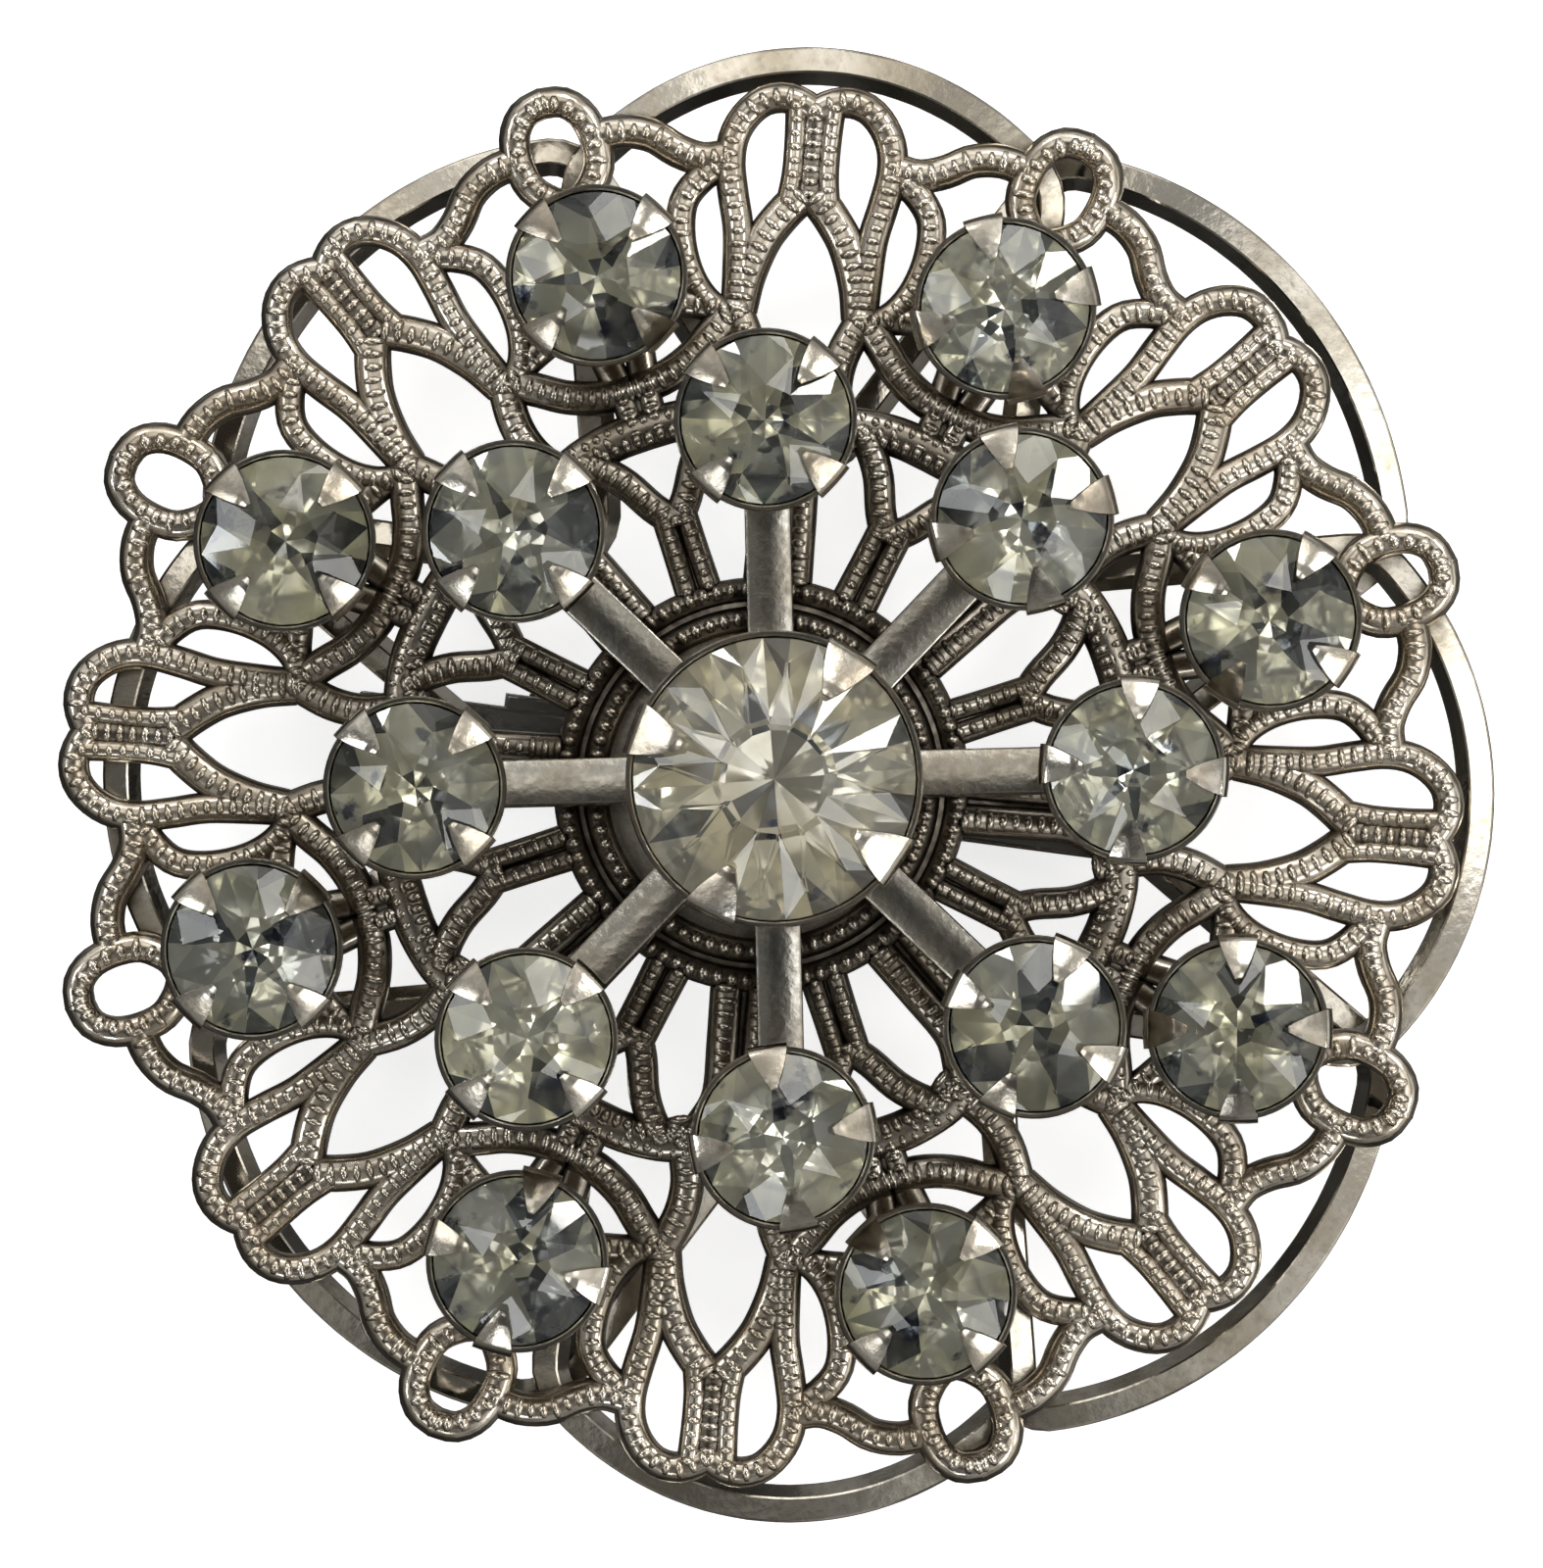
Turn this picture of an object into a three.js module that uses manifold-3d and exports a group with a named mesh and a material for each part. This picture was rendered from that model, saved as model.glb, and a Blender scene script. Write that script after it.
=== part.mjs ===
// A rhinestone hair clip: a domed openwork filigree flower and a plain eight-armed star carry
// seventeen claw-set stones.  Behind them two four-lobed ribbon-wire loops, turned 45 degrees to
// each other, make an eight-lobed frame.  A slim spring clip is riveted under the middle.
// Millimetres, +Z up (out of the face of the ornament), the lowest point of the clip on z = 0.
import * as THREE from "three";
import { mergeVertices } from "three/addons/utils/BufferGeometryUtils.js";
import Module from "manifold-3d";

const wasm = await Module();
wasm.setup();

const DEG = Math.PI / 180;
const GAP = 0.05; // between two pieces that rest on each other

// Where the layers sit, seen from the front, measured from the middle of the filigree.
const SECTORS = 8;
const SECTOR = 360 / SECTORS;
const FAN_ANGLE = 85.4; // the axis of one scalloped fan of the filigree
const RING_ANGLE = FAN_ANGLE + SECTOR / 2; // the axis of the small ring beside it
const STAR = { x: 0.45, y: 0.2, angle: 1.4 };
const FRAME = { x: 1.3, y: 0, angle: 88.5, wide: 0.97, tall: 1.03 }; // the loops are a little oval
const CLIP = { x: STAR.x, y: STAR.y, angle: -7.5 };

// Heights of the layers, from the clip's lower jaw up.
const BAR_Z = 3.3;
const BAR_THICKNESS = 0.7;
const RIBBON_WIDTH = 1.0;
const RIBBON_HEIGHT = 1.3;
const LOOP_LOWER_Z = BAR_Z + BAR_THICKNESS + GAP;
const LOOP_UPPER_Z = LOOP_LOWER_Z + RIBBON_HEIGHT + GAP;
const FILIGREE_Z = LOOP_UPPER_Z + RIBBON_HEIGHT + GAP;
const FILIGREE_THICKNESS = 0.9;
const DOME_HEIGHT = 4.0;
const DOME_RADIUS = 23.5; // the rim outside this radius is flat
const HUB_TOP_Z = FILIGREE_Z + DOME_HEIGHT + FILIGREE_THICKNESS;
const STAR_Z = HUB_TOP_Z + GAP;
const STAR_THICKNESS = 0.6;
const STAR_TOP_Z = STAR_Z + STAR_THICKNESS;

const SEAT_RADIUS = 1.7; // the flat seat under each stone of the filigree
const SEAT_TOP = 1.95; // above the underside of the rim
const SEAT_ROOT = 0.35;
const SEAT_Z = FILIGREE_Z + SEAT_TOP;
const SEAT_SIDES = 8;
const HUB_RADIUS = 3.4; // the middle discs of the filigree and of the star
const HUB_INNER = 2.2; // the openwork plate starts here, inside the disc that fills its middle
const HUB_ROOT = DOME_HEIGHT - 0.3; // above the underside of the rim
const HUB_SIDES = 16;
const OUTER_STONE_RADIUS = 18.5;
const INNER_STONE_RADIUS = 12.35;

const RIVET_RADIUS = 0.8;
const RIVET_HOLE = RIVET_RADIUS + GAP;

// The two sizes of stone and their claw settings.  Heights are above the foot of the setting.
const SMALL_STONE = {
  radius: 2.9,
  segments: 12,
  culet: 0.4,
  girdle: 2.4,
  girdleThickness: 0.2,
  crown: 0.75,
  table: 1.6,
  foot: 0.8,
  prongs: [0, 90, 180, 270],
  prongWidth: 1.35,
  prongTip: 1.8,
};
const CENTRE_STONE = {
  radius: 4.85,
  segments: 18,
  culet: 0.8,
  girdle: 3.5,
  girdleThickness: 0.25,
  crown: 1.3,
  table: 2.7,
  foot: 1.6,
  prongs: [58, 160, 244, 326],
  prongWidth: 1.9,
  prongTip: 3.3,
};
const CUP_WALL = 0.2;
const CUP_CLEARANCE = 0.06;
const PRONG_THICKNESS = 0.18;
const PRONG_LIFT = 0.1; // between the stone's crown and the claw that is bent over it
// How far each setting was turned when it was soldered on, in degrees, going round the flower.
const INNER_TURNS = [-4, 15, 48, 45, 45, 45, 10, -25];
const OUTER_TURNS = [57, 14, 47, 45, 45, 74, 45, 0];

const SILVER = { color: 0x9a958a, roughness: 0.42, metalness: 1 };
const TARNISHED = { color: 0x7d7568, roughness: 0.5, metalness: 1 };
const RIBBON = { color: 0xb3aa9d, roughness: 0.3, metalness: 1 };
const STEEL = { color: 0x8d8d8b, roughness: 0.35, metalness: 1 };
const GLASS = { color: 0xb9bba6, roughness: 0.05, metalness: 0.1 };

const root = new THREE.Group();

function solid(geometry) {
  const bare = geometry.clone();
  bare.deleteAttribute("normal");
  bare.deleteAttribute("uv");
  const merged = mergeVertices(bare, 1e-4);
  return new wasm.Manifold(
    new wasm.Mesh({
      numProp: 3,
      vertProperties: new Float32Array(merged.attributes.position.array),
      triVerts: new Uint32Array(merged.index.array),
    }),
  );
}

function geometryOf(manifold) {
  const { vertProperties, triVerts } = manifold.getMesh();
  const geometry = new THREE.BufferGeometry();
  geometry.setAttribute("position", new THREE.BufferAttribute(vertProperties, 3));
  geometry.setIndex(new THREE.BufferAttribute(triVerts, 1));
  geometry.computeVertexNormals();
  return geometry;
}

function joined(geometries) {
  return geometryOf(geometries.map(solid).reduce((whole, next) => whole.add(next)));
}

function cut(geometry, cutters) {
  return geometryOf(cutters.map(solid).reduce((whole, next) => whole.subtract(next), solid(geometry)));
}

function mesh(name, geometry, look) {
  const piece = new THREE.Mesh(geometry, new THREE.MeshStandardMaterial(look));
  piece.name = name;
  return piece;
}

function group(parent, { x = 0, y = 0, z = 0, angle = 0 }) {
  const made = new THREE.Group();
  made.position.set(x, y, z);
  made.rotation.z = angle * DEG;
  parent.add(made);
  return made;
}

function polar(radius, degrees) {
  return { x: radius * Math.cos(degrees * DEG), y: radius * Math.sin(degrees * DEG) };
}

// A solid of revolution about Z from [radius, height] pairs that start and end on the axis.
function turned(profile, segments) {
  const points = profile.map(([radius, height]) => new THREE.Vector2(radius, height));
  return new THREE.LatheGeometry(points, segments).rotateX(90 * DEG);
}

function rod(radius, bottom, top, segments = 12) {
  return new THREE.CylinderGeometry(radius, radius, top - bottom, segments)
    .rotateX(90 * DEG)
    .translate(0, 0, (top + bottom) / 2);
}

// A rod along Y, between two places across the clip.
function crossRod(radius, from, to, x, z, segments = 12) {
  return new THREE.CylinderGeometry(radius, radius, to - from, segments).translate(x, (from + to) / 2, z);
}

function plate(shape, bottom, thickness, curveSegments = 6) {
  return new THREE.ExtrudeGeometry(shape, { depth: thickness, bevelEnabled: false, curveSegments })
    .translate(0, 0, bottom);
}

function dome(radius) {
  const inside = Math.max(0, 1 - (radius / DOME_RADIUS) ** 2);
  return DOME_HEIGHT * inside ** 2;
}

// ---- stones and their claw settings ----

function stoneGeometry(s) {
  return turned(
    [
      [0, s.culet],
      [s.radius, s.girdle],
      [s.radius, s.girdle + s.girdleThickness],
      [s.table, s.girdle + s.girdleThickness + s.crown],
      [0, s.girdle + s.girdleThickness + s.crown],
    ],
    s.segments,
  );
}

// A triangular claw that leaves the rim of the cup and lies over the crown of the stone.
function prongGeometry(s, angle) {
  const crownTop = s.girdle + s.girdleThickness + s.crown;
  const slope = Math.atan2(s.crown, s.radius - s.table);
  const rim = s.radius + CUP_CLEARANCE + CUP_WALL;
  const reach = (rim - s.prongTip) / Math.cos(slope);
  const claw = new THREE.Shape();
  claw.moveTo(0, -s.prongWidth / 2);
  claw.lineTo(0, s.prongWidth / 2);
  claw.lineTo(-reach, 0);
  claw.closePath();
  const rimHeight = crownTop - (rim - s.table) * Math.tan(slope) + PRONG_LIFT;
  return plate(claw, 0, PRONG_THICKNESS)
    .rotateY(slope)
    .translate(rim, 0, rimHeight)
    .rotateZ(angle * DEG);
}

function settingGeometry(s) {
  const bore = s.radius + CUP_CLEARANCE;
  const rim = bore + CUP_WALL;
  const rimTop = s.girdle + s.girdleThickness + 0.12;
  const bed = s.culet - 0.2;
  const slope = (s.girdle - s.culet) / s.radius;
  const cup = turned(
    [
      [0, 0],
      [s.foot, 0],
      [rim, s.girdle - 0.5],
      [rim, rimTop],
      [bore, rimTop],
      [bore, bed + slope * bore],
      [0, bed],
    ],
    s.segments,
  );
  return joined([cup, ...s.prongs.map((angle) => prongGeometry(s, angle))]);
}

function addStone(parent, label, number, s, place, turn) {
  const spot = group(parent, { ...place, angle: turn });
  spot.add(mesh(label + "_setting" + number, settingGeometry(s), SILVER));
  spot.add(mesh(label + "_stone" + number, stoneGeometry(s), GLASS));
}

function addStoneRing(parent, label, radius, firstAngle, turns, z) {
  turns.forEach((turn, k) => {
    const place = { ...polar(radius, firstAngle + k * SECTOR), z };
    addStone(parent, label, "_" + (k + 1), SMALL_STONE, place, turn);
  });
}

// ---- filigree ----
// The flower repeats every 45 degrees and each repeat is mirrored about the axis of its fan, so it
// is given as one half repeat, from the axis of a fan round to the axis of the next small ring.
// Points are [across, out]: out along the axis, and across it towards the other axis.

const FAN_NOTCH = 24.1;
const FAN_RIM = [
  [0.6, 24.45],
  [1.5, 24.45],
  [2.4, 23.9],
  [3.0, 22.9],
  [3.6, 22.0],
  [4.4, 22.1],
  [5.6, 22.7],
  [6.9, 22.85],
];
const RING = { out: 23.6, radius: 1.8, from: 70, steps: 3 };

// The openings that lie on an axis, as the half on this side of it, from the inner end outwards.
const FAN_AXIS_HOLES = [
  [[0, 11.9], [0.7, 12.9], [0, 13.8]],
  [[0, 15.15], [0.5, 15.3], [1.45, 16.2], [1.75, 17.0], [0.8, 19.35], [0, 19.8]],
];
const RING_AXIS_HOLES = [
  [[0, 10.1], [0.7, 11.0], [1.35, 12.15], [0, 12.4]],
  [[0, 21.8], [0.75, 22.2], [1.05, 23.4], [0.75, 24.25], [0, 24.55]],
];
const FAN_SIDE_HOLES = [
  [[1.2, 23.1], [1.85, 22.9], [2.35, 21.7], [2.05, 20.3], [1.6, 20.0], [0.7, 21.7]],
  [[3.55, 20.5], [3.95, 19.7], [3.35, 17.2], [2.9, 17.3], [2.8, 18.6]],
  [[4.7, 21.3], [5.6, 21.75], [6.4, 21.7], [6.4, 20.9], [4.7, 20.0]],
  [[2.6, 14.7], [3.95, 13.3], [3.5, 12.75], [2.3, 12.7], [2.15, 13.8]],
  [[3.6, 15.9], [4.6, 15.6], [5.4, 14.8], [5.2, 14.1], [4.3, 14.5]],
];
const RING_SIDE_HOLES = [
  [[1.8, 11.1], [2.4, 11.2], [2.75, 10.2], [2.0, 7.9], [1.5, 7.0], [0.55, 7.2], [0.65, 8.6]],
];

const onFan = ([across, out]) => new THREE.Vector2(out, across);
const onRing = (point) => {
  const half = (SECTOR / 2) * DEG;
  const mirrored = new THREE.Vector2(point[1], -point[0]);
  return mirrored.rotateAround(new THREE.Vector2(), half);
};

// The outline of one half repeat, with X along the axis of the fan.
function halfOutline() {
  const rim = FAN_RIM.map(onFan);
  for (let i = 0; i <= RING.steps; i++) {
    const angle = RING.from * (1 - i / RING.steps) * DEG;
    rim.push(onRing([RING.radius * Math.sin(angle), RING.out + RING.radius * Math.cos(angle)]));
  }
  const fanAxis = [[0, HUB_INNER], ...FAN_AXIS_HOLES.flat(), [0, FAN_NOTCH]].map(onFan);
  const ringAxis = [[0, HUB_INNER], ...RING_AXIS_HOLES.flat()].map(onRing);
  return [...fanAxis, ...rim, ...ringAxis.reverse()];
}

// An edge that lies along one of the two axes joins two half repeats, so it has no wall.
function isSeam(a, b) {
  const half = (SECTOR / 2) * DEG;
  const offRing = (p) => Math.abs(p.y * Math.cos(half) - p.x * Math.sin(half));
  const near = 1e-6;
  return (Math.abs(a.y) < near && Math.abs(b.y) < near) || (offRing(a) < near && offRing(b) < near);
}

function filigreeShell() {
  const outline = halfOutline();
  const holes = [...FAN_SIDE_HOLES.map((h) => h.map(onFan)), ...RING_SIDE_HOLES.map((h) => h.map(onRing))];
  if (THREE.ShapeUtils.isClockWise(outline)) throw new Error("the half outline must run anticlockwise");
  holes.forEach((hole) => {
    if (!THREE.ShapeUtils.isClockWise(hole)) hole.reverse();
  });
  const points = [outline, ...holes].flat();
  const faces = THREE.ShapeUtils.triangulateShape(outline, holes);
  const positions = [];
  const triangle = (flipped, a, b, c) => positions.push(...(flipped ? [a, c, b] : [a, b, c]).flat());
  for (let copy = 0; copy < 2 * SECTORS; copy++) {
    const flipped = copy % 2 === 1;
    const angle = (FAN_ANGLE + Math.floor(copy / 2) * SECTOR) * DEG;
    const place = (p, height) => {
      const q = new THREE.Vector2(p.x, flipped ? -p.y : p.y).rotateAround(new THREE.Vector2(), angle);
      return [q.x, q.y, dome(p.length()) + height];
    };
    const low = (p) => place(p, 0);
    const high = (p) => place(p, FILIGREE_THICKNESS);
    faces.forEach(([a, b, c]) => {
      triangle(flipped, high(points[a]), high(points[b]), high(points[c]));
      triangle(flipped, low(points[a]), low(points[c]), low(points[b]));
    });
    [outline, ...holes].forEach((loop) => {
      loop.forEach((from, i) => {
        const to = loop[(i + 1) % loop.length];
        if (isSeam(from, to)) return;
        triangle(flipped, low(from), low(to), high(to));
        triangle(flipped, low(from), high(to), high(from));
      });
    });
  }
  const shell = new THREE.BufferGeometry();
  shell.setAttribute("position", new THREE.Float32BufferAttribute(positions, 3));
  return shell;
}

function filigreeGeometry() {
  const pieces = [filigreeShell()];
  for (let k = 0; k < SECTORS; k++) {
    const at = polar(OUTER_STONE_RADIUS, RING_ANGLE + k * SECTOR);
    pieces.push(rod(SEAT_RADIUS, SEAT_ROOT, SEAT_TOP, SEAT_SIDES).translate(at.x, at.y, 0));
  }
  const hub = rod(HUB_RADIUS, HUB_ROOT, DOME_HEIGHT + FILIGREE_THICKNESS, HUB_SIDES);
  pieces.push(hub.translate(STAR.x, STAR.y, 0));
  const hole = rod(RIVET_HOLE, 0, HUB_TOP_Z).translate(STAR.x, STAR.y, 0);
  return cut(joined(pieces), [hole]);
}

// ---- star ----

const ARM_HALF_WIDTH = 0.8;
const PAD_RADIUS = 1.7;

function starGeometry() {
  const outline = new THREE.Shape();
  const lead = Math.asin(ARM_HALF_WIDTH / PAD_RADIUS);
  const hubLead = Math.asin(ARM_HALF_WIDTH / HUB_RADIUS);
  for (let k = 0; k < SECTORS; k++) {
    const angle = k * SECTOR * DEG;
    const pad = polar(INNER_STONE_RADIUS, k * SECTOR);
    const foot = polar(HUB_RADIUS, (angle - hubLead) / DEG);
    if (k === 0) outline.moveTo(foot.x, foot.y);
    else outline.lineTo(foot.x, foot.y);
    outline.absarc(pad.x, pad.y, PAD_RADIUS, angle - Math.PI + lead, angle + Math.PI - lead);
    const back = polar(HUB_RADIUS, (angle + hubLead) / DEG);
    outline.lineTo(back.x, back.y);
  }
  outline.closePath();
  const hole = new THREE.Path();
  hole.absarc(0, 0, RIVET_HOLE, 0, 2 * Math.PI);
  outline.holes.push(hole);
  return plate(outline, STAR_Z, STAR_THICKNESS, 10);
}

// ---- ribbon-wire frame ----
// Each loop is a four-petal ring of flat wire: a shallow arc at the end of each petal, two tight
// corners, nearly straight sides, and a small round dip between one petal and the next.

const LOBES = 4;
const UPPER_LOBE = { centre: 13.2, radius: 11.3, halfAngle: 45 };
const LOWER_LOBE = { centre: 10.7, radius: 13.8, halfAngle: 36 };
const CORNER_RADIUS = 2.0;
const DIP_CENTRE = 12.8;
const DIP_RADIUS = 1.6;

// One edge of the ribbon: offset is how far it lies outside the ribbon's middle line.
function loopEdge(path, lobe, offset) {
  const half = lobe.halfAngle * DEG;
  const inset = lobe.radius - CORNER_RADIUS;
  const corner = { x: lobe.centre + inset * Math.cos(half), y: inset * Math.sin(half) };
  const cornerReach = Math.hypot(corner.x, corner.y);
  const cornerTurn = Math.atan2(corner.y, corner.x) / DEG;
  const dip = polar(DIP_CENTRE, 180 / LOBES);
  const apart = Math.hypot(dip.x - corner.x, dip.y - corner.y);
  const towards = Math.atan2(dip.y - corner.y, dip.x - corner.x);
  const side = towards - Math.acos((CORNER_RADIUS + DIP_RADIUS) / apart);
  const dipHalf = side - Math.PI / LOBES;
  for (let k = 0; k < LOBES; k++) {
    const turn = (2 * Math.PI * k) / LOBES;
    const before = polar(cornerReach, turn / DEG - cornerTurn);
    const end = polar(lobe.centre, turn / DEG);
    const after = polar(cornerReach, turn / DEG + cornerTurn);
    const dipAt = polar(DIP_CENTRE, turn / DEG + 180 / LOBES);
    const inward = turn + Math.PI / LOBES + Math.PI;
    path.absarc(before.x, before.y, CORNER_RADIUS + offset, turn - side, turn - half, false);
    path.absarc(end.x, end.y, lobe.radius + offset, turn - half, turn + half, false);
    path.absarc(after.x, after.y, CORNER_RADIUS + offset, turn + half, turn + side, false);
    path.absarc(dipAt.x, dipAt.y, DIP_RADIUS - offset, inward + dipHalf, inward - dipHalf, true);
  }
  return path;
}

function loopGeometry(lobe) {
  const shape = loopEdge(new THREE.Shape(), lobe, RIBBON_WIDTH / 2);
  shape.holes.push(loopEdge(new THREE.Path(), lobe, -RIBBON_WIDTH / 2));
  return plate(shape, 0, RIBBON_HEIGHT, 7);
}

// ---- spring clip ----
// The clip lies along its own X.  The bar is fixed to the ornament.  The jaw swings on the pin:
// its finger tab is on the -X side, and squeezing the tab to the bar opens the jaw on the +X side.

const BAR_HALF_LENGTH = 14.5;
const BAR_HALF_WIDTH = 1.3;
const JAW_HALF_WIDTH = 1.2;
const JAW_THICKNESS = 0.7;
const PIN = { x: -8.5, z: 1.95, radius: 0.4 };
const EAR_THICKNESS = 0.45;
const EAR_INNER = JAW_HALF_WIDTH + 0.12;
const EAR_HALF_LENGTH = 1.2;
const KNUCKLE_RADIUS = 0.95;
const SPRING_SPACE = 0.6; // half of the room between the jaw's two knuckles

function barGeometry() {
  const shape = new THREE.Shape();
  const straight = BAR_HALF_LENGTH - BAR_HALF_WIDTH;
  shape.absarc(straight, 0, BAR_HALF_WIDTH, -Math.PI / 2, Math.PI / 2);
  shape.absarc(-straight, 0, BAR_HALF_WIDTH, Math.PI / 2, (3 * Math.PI) / 2);
  const pieces = [plate(shape, BAR_Z, BAR_THICKNESS)];
  for (const side of [-1, 1]) {
    const ear = new THREE.Shape();
    ear.moveTo(-EAR_HALF_LENGTH, BAR_Z + BAR_THICKNESS);
    ear.lineTo(-EAR_HALF_LENGTH, PIN.z);
    ear.absarc(0, PIN.z, EAR_HALF_LENGTH, Math.PI, 2 * Math.PI);
    ear.lineTo(EAR_HALF_LENGTH, BAR_Z + BAR_THICKNESS);
    ear.closePath();
    const middle = side * (EAR_INNER + EAR_THICKNESS / 2);
    pieces.push(
      plate(ear, -EAR_THICKNESS / 2, EAR_THICKNESS).rotateX(90 * DEG).translate(PIN.x, middle, 0),
    );
    const shoulder = new THREE.BoxGeometry(2 * EAR_HALF_LENGTH, 0.5, BAR_THICKNESS);
    const shoulderMiddle = side * (EAR_INNER + EAR_THICKNESS - 0.25);
    pieces.push(shoulder.translate(PIN.x, shoulderMiddle, BAR_Z + BAR_THICKNESS / 2));
  }
  const ends = EAR_INNER + EAR_THICKNESS + 1;
  return cut(joined(pieces), [
    rod(RIVET_HOLE, 0, BAR_Z + 2),
    crossRod(PIN.radius + GAP, -ends, ends, PIN.x, PIN.z),
  ]);
}

// The middle line of the jaw strip, seen from the side, from the end of the finger tab to the tip.
const JAW_LINE = [
  [-14.8, 0.35],
  [-12.6, 0.75],
  [-8.5, 1.95],
  [-6.2, 0.75],
  [-4.6, 0.35],
  [-4.0, 0.35],
  [8.8, 0.35],
  [9.4, 0.35],
  [12.2, 1.3],
  [14.2, 2.85],
];

// A strip of even thickness along a line, as a closed outline.
function stripOutline(line, thickness) {
  const upper = [];
  const lower = [];
  line.forEach(([x, z], i) => {
    const [px, pz] = line[Math.max(0, i - 1)];
    const [nx, nz] = line[Math.min(line.length - 1, i + 1)];
    const along = new THREE.Vector2(nx - px, nz - pz).normalize();
    const half = thickness / 2;
    upper.push(new THREE.Vector2(x - along.y * half, z + along.x * half));
    lower.push(new THREE.Vector2(x + along.y * half, z - along.x * half));
  });
  return new THREE.Shape([...lower, ...upper.reverse()]);
}

function jawGeometry() {
  const strip = plate(stripOutline(JAW_LINE, JAW_THICKNESS), -JAW_HALF_WIDTH, 2 * JAW_HALF_WIDTH)
    .rotateX(90 * DEG);
  const knuckle = crossRod(KNUCKLE_RADIUS, -JAW_HALF_WIDTH, JAW_HALF_WIDTH, PIN.x, PIN.z, 16);
  const pinHole = crossRod(PIN.radius + 0.08, -2, 2, PIN.x, PIN.z);
  const room = new THREE.BoxGeometry(2.6, 2 * SPRING_SPACE, 2.6).translate(PIN.x, 0, PIN.z);
  return cut(joined([strip, knuckle]), [pinHole, room]);
}

const SPRING = { wire: 0.14, coil: 0.68, turns: 2.75, steps: 12, pitch: 0.34 };
const SPRING_LEG = 3.0; // how far each leg reaches from the pin along the finger tab
const SPRING_KNEE = 1.4; // where the lower leg bends over the end of the slot in the jaw

// A torsion spring round the pin: one leg bears up on the bar, the other down on the finger tab.
function springGeometry() {
  const half = (SPRING.turns * SPRING.pitch) / 2;
  const points = [new THREE.Vector3(PIN.x - SPRING_LEG, -half, PIN.z + SPRING.coil + 0.3)];
  for (let i = 0; i <= SPRING.turns * SPRING.steps; i++) {
    const angle = Math.PI / 2 - (2 * Math.PI * i) / SPRING.steps;
    const at = polar(SPRING.coil, angle / DEG);
    const across = -half + (SPRING.pitch * i) / SPRING.steps;
    points.push(new THREE.Vector3(PIN.x + at.x, across, PIN.z + at.y));
  }
  points.push(new THREE.Vector3(PIN.x - SPRING_KNEE, half, PIN.z + 0.3));
  points.push(new THREE.Vector3(PIN.x - SPRING_LEG, half, PIN.z - 0.28));
  const wire = new THREE.CatmullRomCurve3(points, false, "centripetal");
  const section = new THREE.Shape();
  section.absarc(0, 0, SPRING.wire, 0, 2 * Math.PI);
  return new THREE.ExtrudeGeometry(section, { steps: 56, extrudePath: wire, curveSegments: 3 });
}

// ---- post through the middle ----

const RIVET_HEAD = { radius: 1.15, thickness: 0.4 };
const SPACER_RADIUS = 1.35;

function rivetGeometry() {
  const headTop = BAR_Z - GAP;
  return turned(
    [
      [0, headTop - RIVET_HEAD.thickness],
      [RIVET_HEAD.radius, headTop - RIVET_HEAD.thickness],
      [RIVET_HEAD.radius, headTop],
      [RIVET_RADIUS, headTop],
      [RIVET_RADIUS, STAR_TOP_Z],
      [0, STAR_TOP_Z],
    ],
    12,
  );
}

function spacerGeometry() {
  const bottom = BAR_Z + BAR_THICKNESS + GAP;
  const top = FILIGREE_Z + HUB_ROOT - GAP;
  return turned(
    [
      [RIVET_HOLE, bottom],
      [SPACER_RADIUS, bottom],
      [SPACER_RADIUS, top],
      [RIVET_HOLE, top],
      [RIVET_HOLE, bottom],
    ],
    12,
  );
}

// ---- the whole ----

const ornament = group(root, {});
const filigree = mesh("filigree", filigreeGeometry(), TARNISHED);
filigree.position.z = FILIGREE_Z;
ornament.add(filigree);
addStoneRing(ornament, "outer", OUTER_STONE_RADIUS, RING_ANGLE - 2 * SECTOR, OUTER_TURNS, SEAT_Z + GAP);

const star = group(ornament, { x: STAR.x, y: STAR.y, angle: STAR.angle });
star.add(mesh("star", starGeometry(), SILVER));
const upright = INNER_TURNS.map((turn) => turn - STAR.angle);
addStoneRing(star, "inner", INNER_STONE_RADIUS, 0, upright, STAR_TOP_Z + GAP);
addStone(ornament, "centre", "", CENTRE_STONE, { x: STAR.x, y: STAR.y, z: STAR_TOP_Z + GAP }, 0);

const frame = group(ornament, { x: FRAME.x, y: FRAME.y });
frame.scale.set(FRAME.wide, FRAME.tall, 1);
const upperLoop = group(frame, { z: LOOP_UPPER_Z, angle: FRAME.angle });
upperLoop.add(mesh("frame_loop_upper", loopGeometry(UPPER_LOBE), RIBBON));
const lowerLoop = group(frame, { z: LOOP_LOWER_Z, angle: FRAME.angle + SECTOR });
lowerLoop.add(mesh("frame_loop_lower", loopGeometry(LOWER_LOBE), RIBBON));

const post = group(ornament, { x: STAR.x, y: STAR.y });
post.add(mesh("centre_rivet", rivetGeometry(), STEEL));
post.add(mesh("spacer_tube", spacerGeometry(), STEEL));

const clip = group(ornament, CLIP);
clip.add(mesh("clip_bar", barGeometry(), STEEL));
clip.add(mesh("clip_jaw", jawGeometry(), STEEL));
clip.add(mesh("clip_spring", springGeometry(), STEEL));
const pinReach = EAR_INNER + EAR_THICKNESS + 0.15;
clip.add(mesh("hinge_pin", crossRod(PIN.radius, -pinReach, pinReach, PIN.x, PIN.z), STEEL));

// The origin is the middle of the whole, on the surface that the clip lies on.
const box = new THREE.Box3().setFromObject(ornament, true);
const middle = box.getCenter(new THREE.Vector3());
ornament.position.set(-middle.x, -middle.y, -box.min.z);

export default root;
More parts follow.
